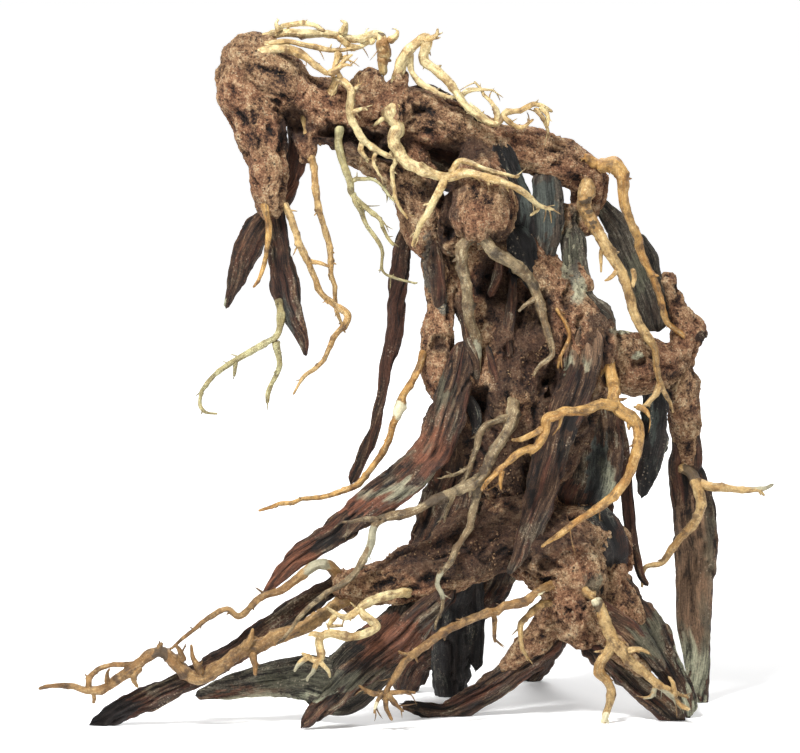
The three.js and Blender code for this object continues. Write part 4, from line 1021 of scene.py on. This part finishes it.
def twig_piece(name, strokes, seed, sizes, material):
    surface = Surface()
    for n, stroke in enumerate(strokes + TWIG_EXTRAS.get(name, [])):
        main = max(row[3] for row in stroke) > 1.9
        made = twig_tube(surface, stroke, seed + 7 * n, main, TWIG_WIDTHS.get(name, 1), sizes)
        buds(surface, made, seed + 7 * n, HAIRY_TWIGS.get(name, 0) if n == 0 else HAIRY_TWIGS.get(name, 0) // 2)
    points, values = surface.joined()
    for key in ("relief", "joint"):
        values[key] = values[key][:, 0]
    values["stain"] = painted(points, TWIG_STAINS)
    piece = build_mesh("bark_" + name, points, surface.quads + surface.caps, values)
    return finish_piece(piece, [name], material)


def shoot(surface, root, way, curl, long, thick, seed):
    """A short tapering shoot."""
    steps = np.linspace(0, 1, 8)
    spine = root + way * (steps * long)[:, None] + curl * (steps ** 2 * long)[:, None]
    width = thick * (1.3 - 0.7 * steps ** 0.6) * np.sqrt(np.clip(1 - steps ** 9, 0.1, 1))
    _, side, face = cross_frames(spine, False)
    turn = np.linspace(0, 2 * math.pi, 6, endpoint=False)
    out = side[:, None] * np.cos(turn)[None, :, None] + face[:, None] * np.sin(turn)[None, :, None]
    points = spine[:, None] + out * width[:, None, None]
    points[..., 2] = np.maximum(points[..., 2], 0.1)
    grain = np.concatenate([out[..., :2] * thick, (steps * long)[:, None, None].repeat(6, axis=1)], axis=-1) + seed
    plain = np.full((8, 6), 0.5)
    surface.grid(points, out, {"grain": grain, "relief": plain, "joint": plain * 0.6})
    return spine


def buds(surface, made, seed, hairy):
    """Blunt snapped shoots and buds on a twig's knots, and fine rootlets on the hairy ones."""
    path, along, radius, knots, sides, tangent, side, face = made
    draw = np.random.default_rng(seed)
    for knot, lean in zip(knots, sides):
        if draw.random() > 0.72:
            continue
        n = int(np.clip(np.searchsorted(along, knot), 1, len(along) - 2))
        way = unit(side[n] * math.cos(lean) + face[n] * math.sin(lean) + tangent[n] * draw.uniform(0.1, 0.8))
        curl = side[n] * draw.uniform(-0.6, 0.6) + face[n] * draw.uniform(-0.6, 0.6) + tangent[n] * draw.uniform(0, 0.5)
        length = draw.uniform(0.5, 1.3) if draw.random() < 0.72 else draw.uniform(1.8, 3.6)
        thick = radius[n] * draw.uniform(0.38, 0.55) * (1 if length < 1.5 else 0.8)
        spine = shoot(surface, path[n], way, curl, radius[n] + length, thick, seed)
        if length > 2.2 and draw.random() < 0.5:
            fork = unit(way + side[n] * draw.uniform(-1.2, 1.2) + face[n] * draw.uniform(-1.2, 1.2))
            shoot(surface, spine[4], fork, -curl, length * 0.6, thick * 0.6, seed)
    for n in range(hairy):
        at = int(draw.uniform(0.45, 0.98) * (len(along) - 1))
        way = unit(side[at] * draw.uniform(-1, 1) + face[at] * draw.uniform(-1, 0.4) + tangent[at] * draw.uniform(0.6, 2))
        curl = side[at] * draw.uniform(-1, 1) + face[at] * draw.uniform(-0.6, 0.6) - np.array([0, 0, 0.4])
        shoot(surface, path[at], way, curl, draw.uniform(3, 7), draw.uniform(0.34, 0.5), seed + n)


# ---------------------------------------------------------------- shaders
class Wire:
    """A socket of a node tree, so that shader maths can be written as expressions."""

    def __init__(self, paint, socket):
        self.paint, self.socket = paint, socket

    def maths(self, operation, *others):
        return self.paint.node("ShaderNodeMath", {"operation": operation}, dict(enumerate((self,) + others)))[0]

    def __add__(self, other):
        return self.maths("ADD", other)

    def __sub__(self, other):
        return self.maths("SUBTRACT", other)

    def __mul__(self, other):
        return self.maths("MULTIPLY", other)

    def __rsub__(self, other):
        return self.paint.node("ShaderNodeMath", {"operation": "SUBTRACT"}, {0: other, 1: self})[0]

    __radd__ = __add__
    __rmul__ = __mul__

    def clip(self):
        return self.paint.node("ShaderNodeClamp", {}, {0: self})[0]

    def step(self, low, high):
        """0 below low, 1 above high, smooth between them."""
        settings = {"interpolation_type": "SMOOTHSTEP"}
        return self.paint.node("ShaderNodeMapRange", settings, {0: self, 1: low, 2: high, 3: 0.0, 4: 1.0})[0]


class Paint:
    """One material's node tree."""

    def __init__(self, name):
        self.material = bpy.data.materials.new(name)
        self.material.use_nodes = True
        self.tree = self.material.node_tree
        self.tree.nodes.clear()

    def node(self, kind, settings, values):
        made = self.tree.nodes.new(kind)
        for key, value in settings.items():
            if key == "stops":
                while len(made.color_ramp.elements) < len(value):
                    made.color_ramp.elements.new(0.5)
                for element, (place, colour) in zip(made.color_ramp.elements, value):
                    element.position = place
                    element.color = (*colour, 1)
            else:
                setattr(made, key, value)
        for key, value in values.items():
            socket = made.inputs[key]
            if isinstance(value, Wire):
                self.tree.links.new(value.socket, socket)
            else:
                socket.default_value = value
        return [Wire(self, socket) for socket in made.outputs]

    def where(self):
        return self.node("ShaderNodeTexCoord", {}, {})[3]

    def kept(self, name):
        """An attribute's outputs: colour, vector, number and alpha."""
        return self.node("ShaderNodeAttribute", {"attribute_name": name}, {})

    def stretched(self, vector, scale):
        return self.node("ShaderNodeVectorMath", {"operation": "MULTIPLY"}, {0: vector, 1: scale})[0]

    def noise(self, vector, scale, detail=3.0, rough=0.55, warp=0.0):
        values = {"Vector": vector, "Scale": scale, "Detail": detail, "Roughness": rough, "Distortion": warp}
        return self.node("ShaderNodeTexNoise", {}, values)[0]

    def mix(self, factor, low, high):
        """Blends two colours."""
        settings = {"data_type": "RGBA"}
        return self.node("ShaderNodeMix", settings, {0: factor, 6: low, 7: high})[2]

    def shade(self, colour, amount):
        """A colour made lighter or darker by a number."""
        return self.node("ShaderNodeVectorMath", {"operation": "SCALE"}, {0: colour, "Scale": amount})[0]

    def ramp(self, factor, stops):
        return self.node("ShaderNodeValToRGB", {"stops": stops}, {0: factor})[0]

    def bump(self, height, strength, distance):
        return self.node("ShaderNodeBump", {}, {"Strength": strength, "Distance": distance, "Height": height})[0]

    def finish(self, colour, rough, normal=None, glow=(0, 0, 0, 1)):
        values = {"Base Color": colour, "Roughness": rough, "Specular IOR Level": 0.35, "Emission Color": glow,
                  "Emission Strength": 0.0 if isinstance(glow, tuple) else 1.0}
        if normal is not None:
            values["Normal"] = normal
        shader = self.node("ShaderNodeBsdfPrincipled", {}, values)[0]
        self.node("ShaderNodeOutputMaterial", {}, {"Surface": shader})
        return self.material


def rgba(rgb):
    return (*linear(rgb), 1)


def crust_material(sizes):
    """Porous brown crust: light grains and reddish bare places, painted shade in its pits, hollows and dark places, and
    painted light on its raised relief.
    """
    paint = Paint("crust")
    place = paint.where()
    relief = paint.kept("relief")[2]
    grain = paint.kept("grain")[1]
    stain = paint.kept("stain")
    broad = paint.noise(place, 45, 5)
    middle = paint.noise(place, 190, 5, 0.7)
    fibre = paint.noise(paint.stretched(grain, (0.9, 0.9, 0.22)), 1.0, 5, 0.75)
    lump = paint.noise(place, 520, 3, 0.7)
    grit = paint.noise(place, 1100, 3, 0.8)
    hole = paint.node("ShaderNodeTexVoronoi", {}, {"Vector": place, "Scale": 430.0})
    speck = paint.node("ShaderNodeTexVoronoi", {}, {"Vector": place, "Scale": 760.0})
    # The tone takes painted light and shade from the relief, along with the crust's own grain and noise.
    tone = (relief * 1.05 + middle * 0.7 + fibre * 1.1 + lump * 1.1 + grit * 1.5 - 2.22).clip()
    base = paint.ramp(tone, [(0.02, linear((23, 14, 10))), (0.24, linear((80, 54, 38))), (0.5, linear((141, 106, 75))),
                             (0.76, linear((180, 145, 107))), (1.0, linear((216, 191, 152)))])
    ruddy = paint.ramp(tone, [(0.02, linear((25, 15, 10))), (0.33, linear((105, 67, 46))), (0.7, linear((162, 116, 83))),
                              (1.0, linear((204, 167, 128)))])
    colour = paint.mix((broad * 0.8 + middle * 0.3).step(0.48, 0.62) * 0.9, base, ruddy)
    cover = (stain[3] * 1.3 + middle * 1.2 + lump * 0.5 - 1.2).step(0.1, 0.6) * 0.82
    colour = paint.mix(cover, colour, paint.shade(stain[0], relief * 0.5 + tone * 1.5))
    # Painted shade: the crust turns warm dark brown in the dark places and hollows, with fewer light crumbs.
    painted_shade = (paint.kept("shade")[2] * 1.1 + middle * 1.8 + lump * 0.5 - 1.2).step(0.1, 0.9)
    colour = paint.mix(painted_shade * 0.84, colour, paint.shade(linear((86, 57, 42)), tone * 0.85))
    # Painted shade: the small pits, dented by the bump below, are darkened in colour.
    pits = hole[0].step(0.36, 0.16) * fibre.step(0.45, 0.54)
    colour = paint.shade(colour, 1 - 0.78 * pits)
    crumbs = (speck[0].step(0.42, 0.26) * middle.step(0.48, 0.58) * relief.step(0.4, 0.6) * (1 - 0.8 * painted_shade)).clip()
    colour = paint.mix(crumbs * 0.62, colour, rgba((226, 204, 166)))
    height = grit * 0.8 + lump * 0.9 + middle * 0.5 + fibre * 0.7 - pits * 0.7 + crumbs * 0.4
    return paint.finish(colour, 0.88, paint.bump(height, 1.0, 0.0034))


def wood_material(name, dark, mid, light, red, grey, shine):
    """Fibrous weathered wood whose streaks follow its length, with painted light on its ribs and painted shade in its
    cracks.
    """
    paint = Paint(name)
    place = paint.where()
    grain = paint.kept("grain")[1]
    relief = paint.kept("relief")[2]
    stain = paint.kept("stain")
    streak = paint.noise(paint.stretched(grain, (0.6, 0.6, 0.035)), 1.0, 5, 0.7)
    fibre = paint.noise(paint.stretched(grain, (1.7, 1.7, 0.1)), 1.0, 4, 0.75)
    patch = paint.noise(place, 60, 5, 0.6)
    tint = paint.noise(paint.stretched(grain, (0.3, 0.3, 0.03)), 1.0, 4, 0.6)
    grit = paint.noise(place, 900, 3, 0.8)
    speck = paint.node("ShaderNodeTexVoronoi", {}, {"Vector": place, "Scale": 720.0})
    # The tone takes painted light on ribs and painted shade in cracks from the relief, along with the fibre and grit.
    tone = (relief * 0.8 + streak * 1.1 + fibre * 1.7 + grit * 0.9 - 1.86).clip()
    base = paint.ramp(tone, [(0.08, linear(dark)), (0.5, linear(mid)), (0.92, linear(light)), (1.0, linear(light))])
    base = paint.mix(tint.step(0.5, 0.62) * 0.7, base, paint.shade(linear(red), 0.25 + tone * 1.6))
    weathered = paint.ramp(tone, [(0.1, linear((34, 31, 27))), (0.5, linear(grey)), (0.95, linear((190, 186, 160)))])
    colour = paint.mix(((patch + streak * 0.6).step(0.84, 0.94) * 0.7), base, weathered)
    cover = (stain[3] * 1.2 + streak * 1.0 + grit * 0.4 - 0.92).step(0.15, 0.5) * 0.9
    colour = paint.mix(cover, colour, paint.shade(stain[0], 0.15 + tone * 1.9))
    dust = (speck[0].step(0.42, 0.2) * patch.step(0.46, 0.58) * grit.step(0.46, 0.56) * relief.step(0.4, 0.6)).clip()
    colour = paint.mix(dust * 0.62, colour, rgba((206, 186, 160)))
    height = fibre * 1.2 + streak * 0.5 + grit * 0.4
    rough = (shine + grit * 0.25).clip()
    return paint.finish(colour, rough, paint.bump(height, 1.0, 0.0026))


def twig_material(name, pale, warm, dark, tip):
    """Smooth peeled twig: warm patches, fine fibre lines and darker joints, with painted light and shade from its
    lumps.
    """
    paint = Paint(name)
    place = paint.where()
    grain = paint.kept("grain")[1]
    relief = paint.kept("relief")[2]
    joint = paint.kept("joint")[2]
    stain = paint.kept("stain")
    broad = paint.noise(place, 42, 3)
    patch = paint.noise(place, 190, 5, 0.7)
    fibre = paint.noise(paint.stretched(grain, (1.1, 1.1, 0.12)), 1.0, 4, 0.7)
    grit = paint.noise(place, 1000, 3, 0.75)
    colour = paint.mix((broad * 0.7 + patch * 0.5).step(0.5, 0.68), rgba(pale), rgba(warm))
    colour = paint.mix((fibre * 0.8 + grit * 0.4).step(0.58, 0.74) * 0.6, colour, rgba(tip))
    worn = patch * 0.8 + fibre * 0.7 + joint * 0.26
    colour = paint.mix(worn.step(0.7, 0.94) * 0.85, colour, rgba(dark))
    colour = paint.mix((stain[3] * 1.2 + patch * 0.6 - 0.4).step(0.2, 0.5) * 0.9, colour, stain[0])
    # Painted light and shade from the relief, with the twig's own fibre and grit.
    colour = paint.shade(colour, relief * 0.9 + fibre * 0.6 + grit * 1.0 - 0.31)
    return paint.finish(colour, 0.45, paint.bump(fibre * 1.0 + grit * 0.5 + patch * 0.5, 0.8, 0.0012))


# ---------------------------------------------------------------- scattered grains
def scatter_tree(name, material, shape):
    """Nodes that strew small rough grains over a surface and give them a material."""
    tree = bpy.data.node_groups.new(name, "GeometryNodeTree")
    tree.interface.new_socket("Geometry", in_out="INPUT", socket_type="NodeSocketGeometry")
    for label, low in (("Density", 0.0), ("Size", 0.0), ("Seed", 0)):
        kind = "NodeSocketInt" if label == "Seed" else "NodeSocketFloat"
        tree.interface.new_socket(label, in_out="INPUT", socket_type=kind).default_value = low
    tree.interface.new_socket("Geometry", in_out="OUTPUT", socket_type="NodeSocketGeometry")
    nodes, links = tree.nodes, tree.links
    given = nodes.new("NodeGroupInput")
    out = nodes.new("NodeGroupOutput")
    spread = nodes.new("GeometryNodeDistributePointsOnFaces")
    links.new(given.outputs["Geometry"], spread.inputs["Mesh"])
    gather = nodes.new("ShaderNodeTexNoise")
    gather.inputs["Scale"].default_value = 110.0
    gather.inputs["Detail"].default_value = 3.0
    patchy = nodes.new("ShaderNodeMapRange")
    patchy.inputs["From Min"].default_value = 0.48
    patchy.inputs["From Max"].default_value = 0.68
    links.new(gather.outputs[0], patchy.inputs["Value"])
    bare = nodes.new("GeometryNodeInputNamedAttribute")
    bare.inputs["Name"].default_value = "bare"
    thinned = nodes.new("ShaderNodeMath")
    thinned.operation = "MULTIPLY"
    links.new(given.outputs["Density"], thinned.inputs[0])
    links.new(bare.outputs["Attribute"], thinned.inputs[1])
    links.new(thinned.outputs[0], patchy.inputs["To Max"])
    links.new(patchy.outputs["Result"], spread.inputs["Density"])
    links.new(given.outputs["Seed"], spread.inputs["Seed"])
    grain = nodes.new("GeometryNodeMeshIcoSphere")
    grain.inputs["Radius"].default_value = 1.0
    grain.inputs["Subdivisions"].default_value = 1
    turn = nodes.new("FunctionNodeRandomValue")
    turn.data_type = "FLOAT_VECTOR"
    turn.inputs[1].default_value = (6.28, 6.28, 6.28)
    size = nodes.new("FunctionNodeRandomValue")
    size.data_type = "FLOAT_VECTOR"
    size.inputs[0].default_value = (0.45, 0.4, 0.35)
    size.inputs[1].default_value = (1.5, 1.15, 0.9)
    grow = nodes.new("ShaderNodeVectorMath")
    grow.operation = "SCALE"
    links.new(size.outputs[0], grow.inputs[0])
    links.new(given.outputs["Size"], grow.inputs["Scale"])
    place = nodes.new("GeometryNodeInstanceOnPoints")
    links.new(spread.outputs["Points"], place.inputs["Points"])
    links.new(grain.outputs["Mesh"], place.inputs["Instance"])
    links.new(turn.outputs[0], place.inputs["Rotation"])
    links.new(grow.outputs[0], place.inputs["Scale"])
    real = nodes.new("GeometryNodeRealizeInstances")
    coat = nodes.new("GeometryNodeSetMaterial")
    coat.inputs["Material"].default_value = material
    links.new(place.outputs["Instances"], real.inputs["Geometry"])
    links.new(real.outputs["Geometry"], coat.inputs["Geometry"])
    links.new(coat.outputs["Geometry"], out.inputs["Geometry"])
    return tree


def scattered(name, source, tree, values):
    """The grains of one surface as a plain piece."""
    copy = bpy.data.objects.new(name + "_base", source.data.copy())
    bpy.context.scene.collection.objects.link(copy)
    modifier = copy.modifiers.new("Scatter", "NODES")
    modifier.node_group = tree
    for item in tree.interface.items_tree:
        if item.item_type == "SOCKET" and item.in_out == "INPUT" and item.name in values:
            modifier[item.identifier] = values[item.name]
    piece = baked(copy, name)
    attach(piece, BODY)
    return piece


# ---------------------------------------------------------------- settings
class DriftwoodSizes(bpy.types.PropertyGroup):
    crust_voxel: FloatProperty(name="Crust skin cell", description="Size of the cells that fuse the crust",
                               default=0.00094, min=0.0004, unit="LENGTH", precision=4)
    crust_relief: FloatProperty(name="Crust relief", description="Height of the crust's lumps and pits",
                                default=1.0, min=0.0)
    fibre_depth: FloatProperty(name="Fibre depth", description="Depth of the ribs and cracks in the wood",
                               default=1.0, min=0.0)
    twig_thickness: FloatProperty(name="Twig thickness", description="Thickness of the twigs against the drawing",
                                  default=0.9, min=0.2)
    crumb_size: FloatProperty(name="Crumb size", description="Radius of a grain that lies on the crust",
                              default=0.00055, min=0.0, unit="LENGTH", precision=4)
    crumb_density: FloatProperty(name="Crumb density", description="Grains on a square metre of crust",
                                 default=160000, min=0.0)
    wood_red: FloatVectorProperty(name="Red wood", description="Middle colour of the red-brown strips", size=3,
                                  default=linear((88, 62, 50)), min=0, max=1, subtype="COLOR")
    floor_tone: FloatVectorProperty(name="Floor", description="Colour of the floor", size=3,
                                    default=(0.9, 0.9, 0.9), min=0, max=1, subtype="COLOR")


def settings():
    return bpy.context.scene.driftwood_sizes


CRUST_PIECES = {
    "crust_upper": ("crown", "hanging_leg", "arch", "neck", "right_shoulder", "ball_knob"),
    "crust_middle": ("trunk", "trunk_ridge", "left_column", "right_limb"),
    "crust_lower": ("base", "left_base"),
}
GREY_WOOD = ("grey_slab", "outer_plank", "lichen_strip", "grey_plank")
CHARRED_WOOD = ("charred_slab", "hanging_plate", "fluted_column")


CHARRED_LUMPS = {
    "base_char": [
        [(92, 108, -4, 7), (98, 99, -4, 11), (103, 89, -4, 11), (104, 80, -4, 8)],
        [(108, 96, -2, 5), (110, 88, -2, 6), (108, 79, -2, 4)],
    ],
    "ridge_char": [[(57, 250, -4, 5), (61, 240, -4, 7), (64, 228, -3, 6), (66, 219, -2, 3)]],
    "base_splinter": [[(34, 165, -10, 2), (37, 159, -9, 3.4), (38, 152, -9, 3), (36, 146, -10, 1.5)]],
}
# Bare strands and flakes of wood that show on the crust.
BARE_STRANDS = {
    "hollow_root": [[(50, 233, -3, 1.8), (48, 224, -1, 2.6), (45, 215, -2, 1.8)]],
    "arch_flake": [[(2, 316, 6, 3), (14, 316, 7, 5), (26, 311, 7, 4), (34, 306, 6, 2)]],
    "trunk_strands": [
        [(57, 225, -1, 1.6), (56, 212, -5, 2.8), (54, 198, -7, 3), (55, 184, -7, 1.6)],
        [(31, 206, -7, 1.6), (34, 194, -10, 2.6), (37, 181, -10, 2.8), (38, 170, -8, 1.6)],
        [(44, 190, -10, 1.4), (47, 178, -11, 2.6), (51, 166, -11, 2.6), (52, 156, -10, 1.5)],
        [(18, 242, -6, 2), (18, 230, -7, 4.4), (19, 218, -6, 4.4), (20, 208, -5, 2)],
    ],
    "base_strands": [[(98, 64, -18, 2), (110, 52, -22, 5), (122, 40, -25, 5.5), (132, 28, -26, 3)]],
    "ridge_flake": [[(84, 206, -8, 3), (90, 198, -10, 7), (94, 188, -11, 8), (92, 178, -11, 6), (90, 172, -9, 3)]],
}
# Twig colours: pale, warm, dark and light fibre.
TWIG_TONES = {
    "cream": ((198, 180, 132), (178, 146, 92), (100, 72, 42), (226, 214, 172)),
    "sand": ((176, 146, 96), (152, 116, 66), (82, 58, 34), (208, 188, 142)),
    "amber": ((176, 136, 76), (150, 106, 50), (80, 54, 30), (206, 182, 132)),
    "brown": ((146, 114, 70), (122, 88, 48), (62, 43, 27), (182, 156, 112)),
    "grey": ((132, 114, 84), (104, 82, 54), (44, 34, 25), (196, 182, 146)),
    "green": ((164, 158, 116), (146, 132, 88), (84, 72, 48), (192, 188, 150)),
}
TONED_TWIGS = {
    "sand": ("straight_twig", "forked_twig", "right_twig", "bottom_right_twig", "shoulder_twig", "white_tip_twig"),
    "amber": ("orange_twig", "yellow_twig", "yellow_branch", "short_hanging_twig"),
    "brown": ("long_left_twig", "left_bent_twig", "long_front_twig"),
    "grey": ("grey_fork_twig", "long_grey_arm"),
    "green": ("trailing_twig", "drooping_twig"),
}


class BuildCrust(bpy.types.Operator):
    """Fuse the crusted limbs and strew grains over them"""
    bl_idname = "driftwood.crust"
    bl_label = "Build crust"

    def execute(self, context):
        sizes = settings()
        material = crust_material(sizes)
        tree = scatter_tree("crumbs", material_of_crumbs(), "grain")
        for n, (name, limbs) in enumerate(CRUST_PIECES.items()):
            piece = crust_piece(name, limbs, sizes, material)
            scattered(name.replace("crust", "crumbs"), piece, tree,
                      {"Density": sizes.crumb_density, "Size": sizes.crumb_size, "Seed": n + 3})
        return {"FINISHED"}


def material_of_crumbs():
    paint = Paint("crumbs")
    place = paint.where()
    broad = paint.noise(place, 160, 3)
    fine = paint.noise(place, 500, 3, 0.7)
    colour = paint.ramp((broad * 0.5 + fine * 0.6).clip(),
                        [(0.3, linear((58, 40, 28))), (0.5, linear((108, 80, 57))), (0.66, linear((148, 119, 87))),
                         (0.82, linear((190, 166, 130)))])
    return paint.finish(colour, 0.85)


class BuildStrips(bpy.types.Operator):
    """Build the flat strips, roots and back posts"""
    bl_idname = "driftwood.strips"
    bl_label = "Build strips"

    def execute(self, context):
        sizes = settings()
        woods = {
            "red_wood": wood_material("red_wood", (17, 11, 8), (80, 56, 40), (160, 128, 96), (100, 58, 41), (106, 93, 74), 0.45),
            "grey_wood": wood_material("grey_wood", (20, 18, 16), (84, 76, 64), (158, 150, 132), (78, 62, 50),
                                       (122, 119, 100), 0.6),
            "charred_wood": wood_material("charred_wood", (9, 9, 9), (42, 38, 36), (92, 86, 80), (50, 40, 36),
                                          (66, 70, 66), 0.38),
        }
        for table, thickness in ((WOOD_STRIPS, 0.42), (BACK_POSTS, 0.8)):
            for n, (name, strokes) in enumerate(table.items()):
                slot = "grey_wood" if name in GREY_WOOD else "charred_wood" if name in CHARRED_WOOD else "red_wood"
                plank_piece(name, strokes, thickness, 100 + 7 * n, sizes, woods[slot])
        for table, slot in ((CHARRED_LUMPS, "charred_wood"), (BARE_STRANDS, "red_wood")):
            for n, (name, strokes) in enumerate(table.items()):
                lump_piece(name, strokes, 900 + n, sizes, woods[slot])
        return {"FINISHED"}


class BuildTwigs(bpy.types.Operator):
    """Build the pale branching twigs"""
    bl_idname = "driftwood.twigs"
    bl_label = "Build twigs"

    def execute(self, context):
        sizes = settings()
        woods = {tone: twig_material(tone, *colours) for tone, colours in TWIG_TONES.items()}
        for n, (name, strokes) in enumerate(TWIGS.items()):
            tone = next((tone for tone, names in TONED_TWIGS.items() if name in names), "cream")
            twig_piece(name, strokes, 500 + 41 * n, sizes, woods[tone])
        return {"FINISHED"}


class BuildStage(bpy.types.Operator):
    """Lay the floor, light it softly and aim the camera as the photograph was taken"""
    bl_idname = "driftwood.stage"
    bl_label = "Build stage"

    def execute(self, context):
        scene = context.scene
        middle = (-FOOTPRINT[0], -FOOTPRINT[1], VIEW_TARGET_HEIGHT)
        floor = build_mesh("floor", np.array([[-90000, -9000, 0], [90000, -9000, 0], [90000, 90000, 0], [-90000, 90000, 0]], float),
                           [np.array([[0, 1, 2, 3]])], smooth=False)
        pale = Paint("floor")
        away = pale.node("ShaderNodeVectorMath", {"operation": "LENGTH"}, {0: pale.where()})[1]
        far = pale.shade((1, 1, 1), 0.16 + 0.5 * away.step(0.35, 1.6))
        floor.data.materials.append(pale.finish((*settings().floor_tone, 1), 0.9, glow=far))
        world = bpy.data.worlds.new("studio")
        world.use_nodes = True
        world.node_tree.nodes["Background"].inputs[0].default_value = (1, 1, 1, 1)
        world.node_tree.nodes["Background"].inputs[1].default_value = 0.38
        scene.world = world
        scene.view_settings.view_transform = "Standard"
        for name, place, size, power in (("key", (-420, -760, 1350), 0.32, 40), ("fill", (900, -1100, 500), 1.2, 5),
                                         ("back", (300, 900, 1200), 1.0, 14)):
            lamp = bpy.data.lights.new(name, "AREA")
            lamp.size = size
            lamp.energy = power
            light = bpy.data.objects.new(name, lamp)
            light.location = np.array(place) * MM
            light.rotation_euler = aim(np.array(place), np.array(middle))
            scene.collection.objects.link(light)
        lens = bpy.data.cameras.new("camera")
        lens.sensor_width = 36
        lens.lens = 36 * VIEW_DISTANCE / 400
        lens.clip_end = 200
        camera = bpy.data.objects.new("camera", lens)
        eye = np.array([0, -EYE_BACK, VIEW_TARGET_HEIGHT + EYE_UP]) - FOOTPRINT
        camera.location = eye * MM
        camera.rotation_euler = aim(eye, np.array(middle))
        scene.collection.objects.link(camera)
        scene.camera = camera
        return {"FINISHED"}


def aim(place, target):
    """The turn that makes a lamp or camera at place look at target."""
    away = target - place
    flat = math.hypot(away[0], away[1])
    return (math.atan2(flat, -away[2]), 0, math.atan2(away[1], away[0]) - math.pi / 2)


class DriftwoodPanel(bpy.types.Panel):
    bl_idname = "VIEW3D_PT_driftwood"
    bl_label = "Bonsai driftwood"
    bl_space_type = "VIEW_3D"
    bl_region_type = "UI"
    bl_category = "Driftwood"

    def draw(self, context):
        sizes = context.scene.driftwood_sizes
        for name in sizes.__annotations__:
            self.layout.prop(sizes, name)
        for operator in OPERATORS:
            self.layout.operator(operator.bl_idname)


OPERATORS = (BuildCrust, BuildStrips, BuildTwigs, BuildStage)


def register():
    for kind in (DriftwoodSizes, *OPERATORS, DriftwoodPanel):
        bpy.utils.register_class(kind)
    bpy.types.Scene.driftwood_sizes = PointerProperty(type=DriftwoodSizes)


def unregister():
    del bpy.types.Scene.driftwood_sizes
    for kind in (DriftwoodPanel, *reversed(OPERATORS), DriftwoodSizes):
        bpy.utils.unregister_class(kind)


def main():
    register()
    bpy.ops.driftwood.crust()
    bpy.ops.driftwood.strips()
    bpy.ops.driftwood.twigs()
    bpy.ops.driftwood.stage()
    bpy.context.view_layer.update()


if __name__ == "__main__":
    main()
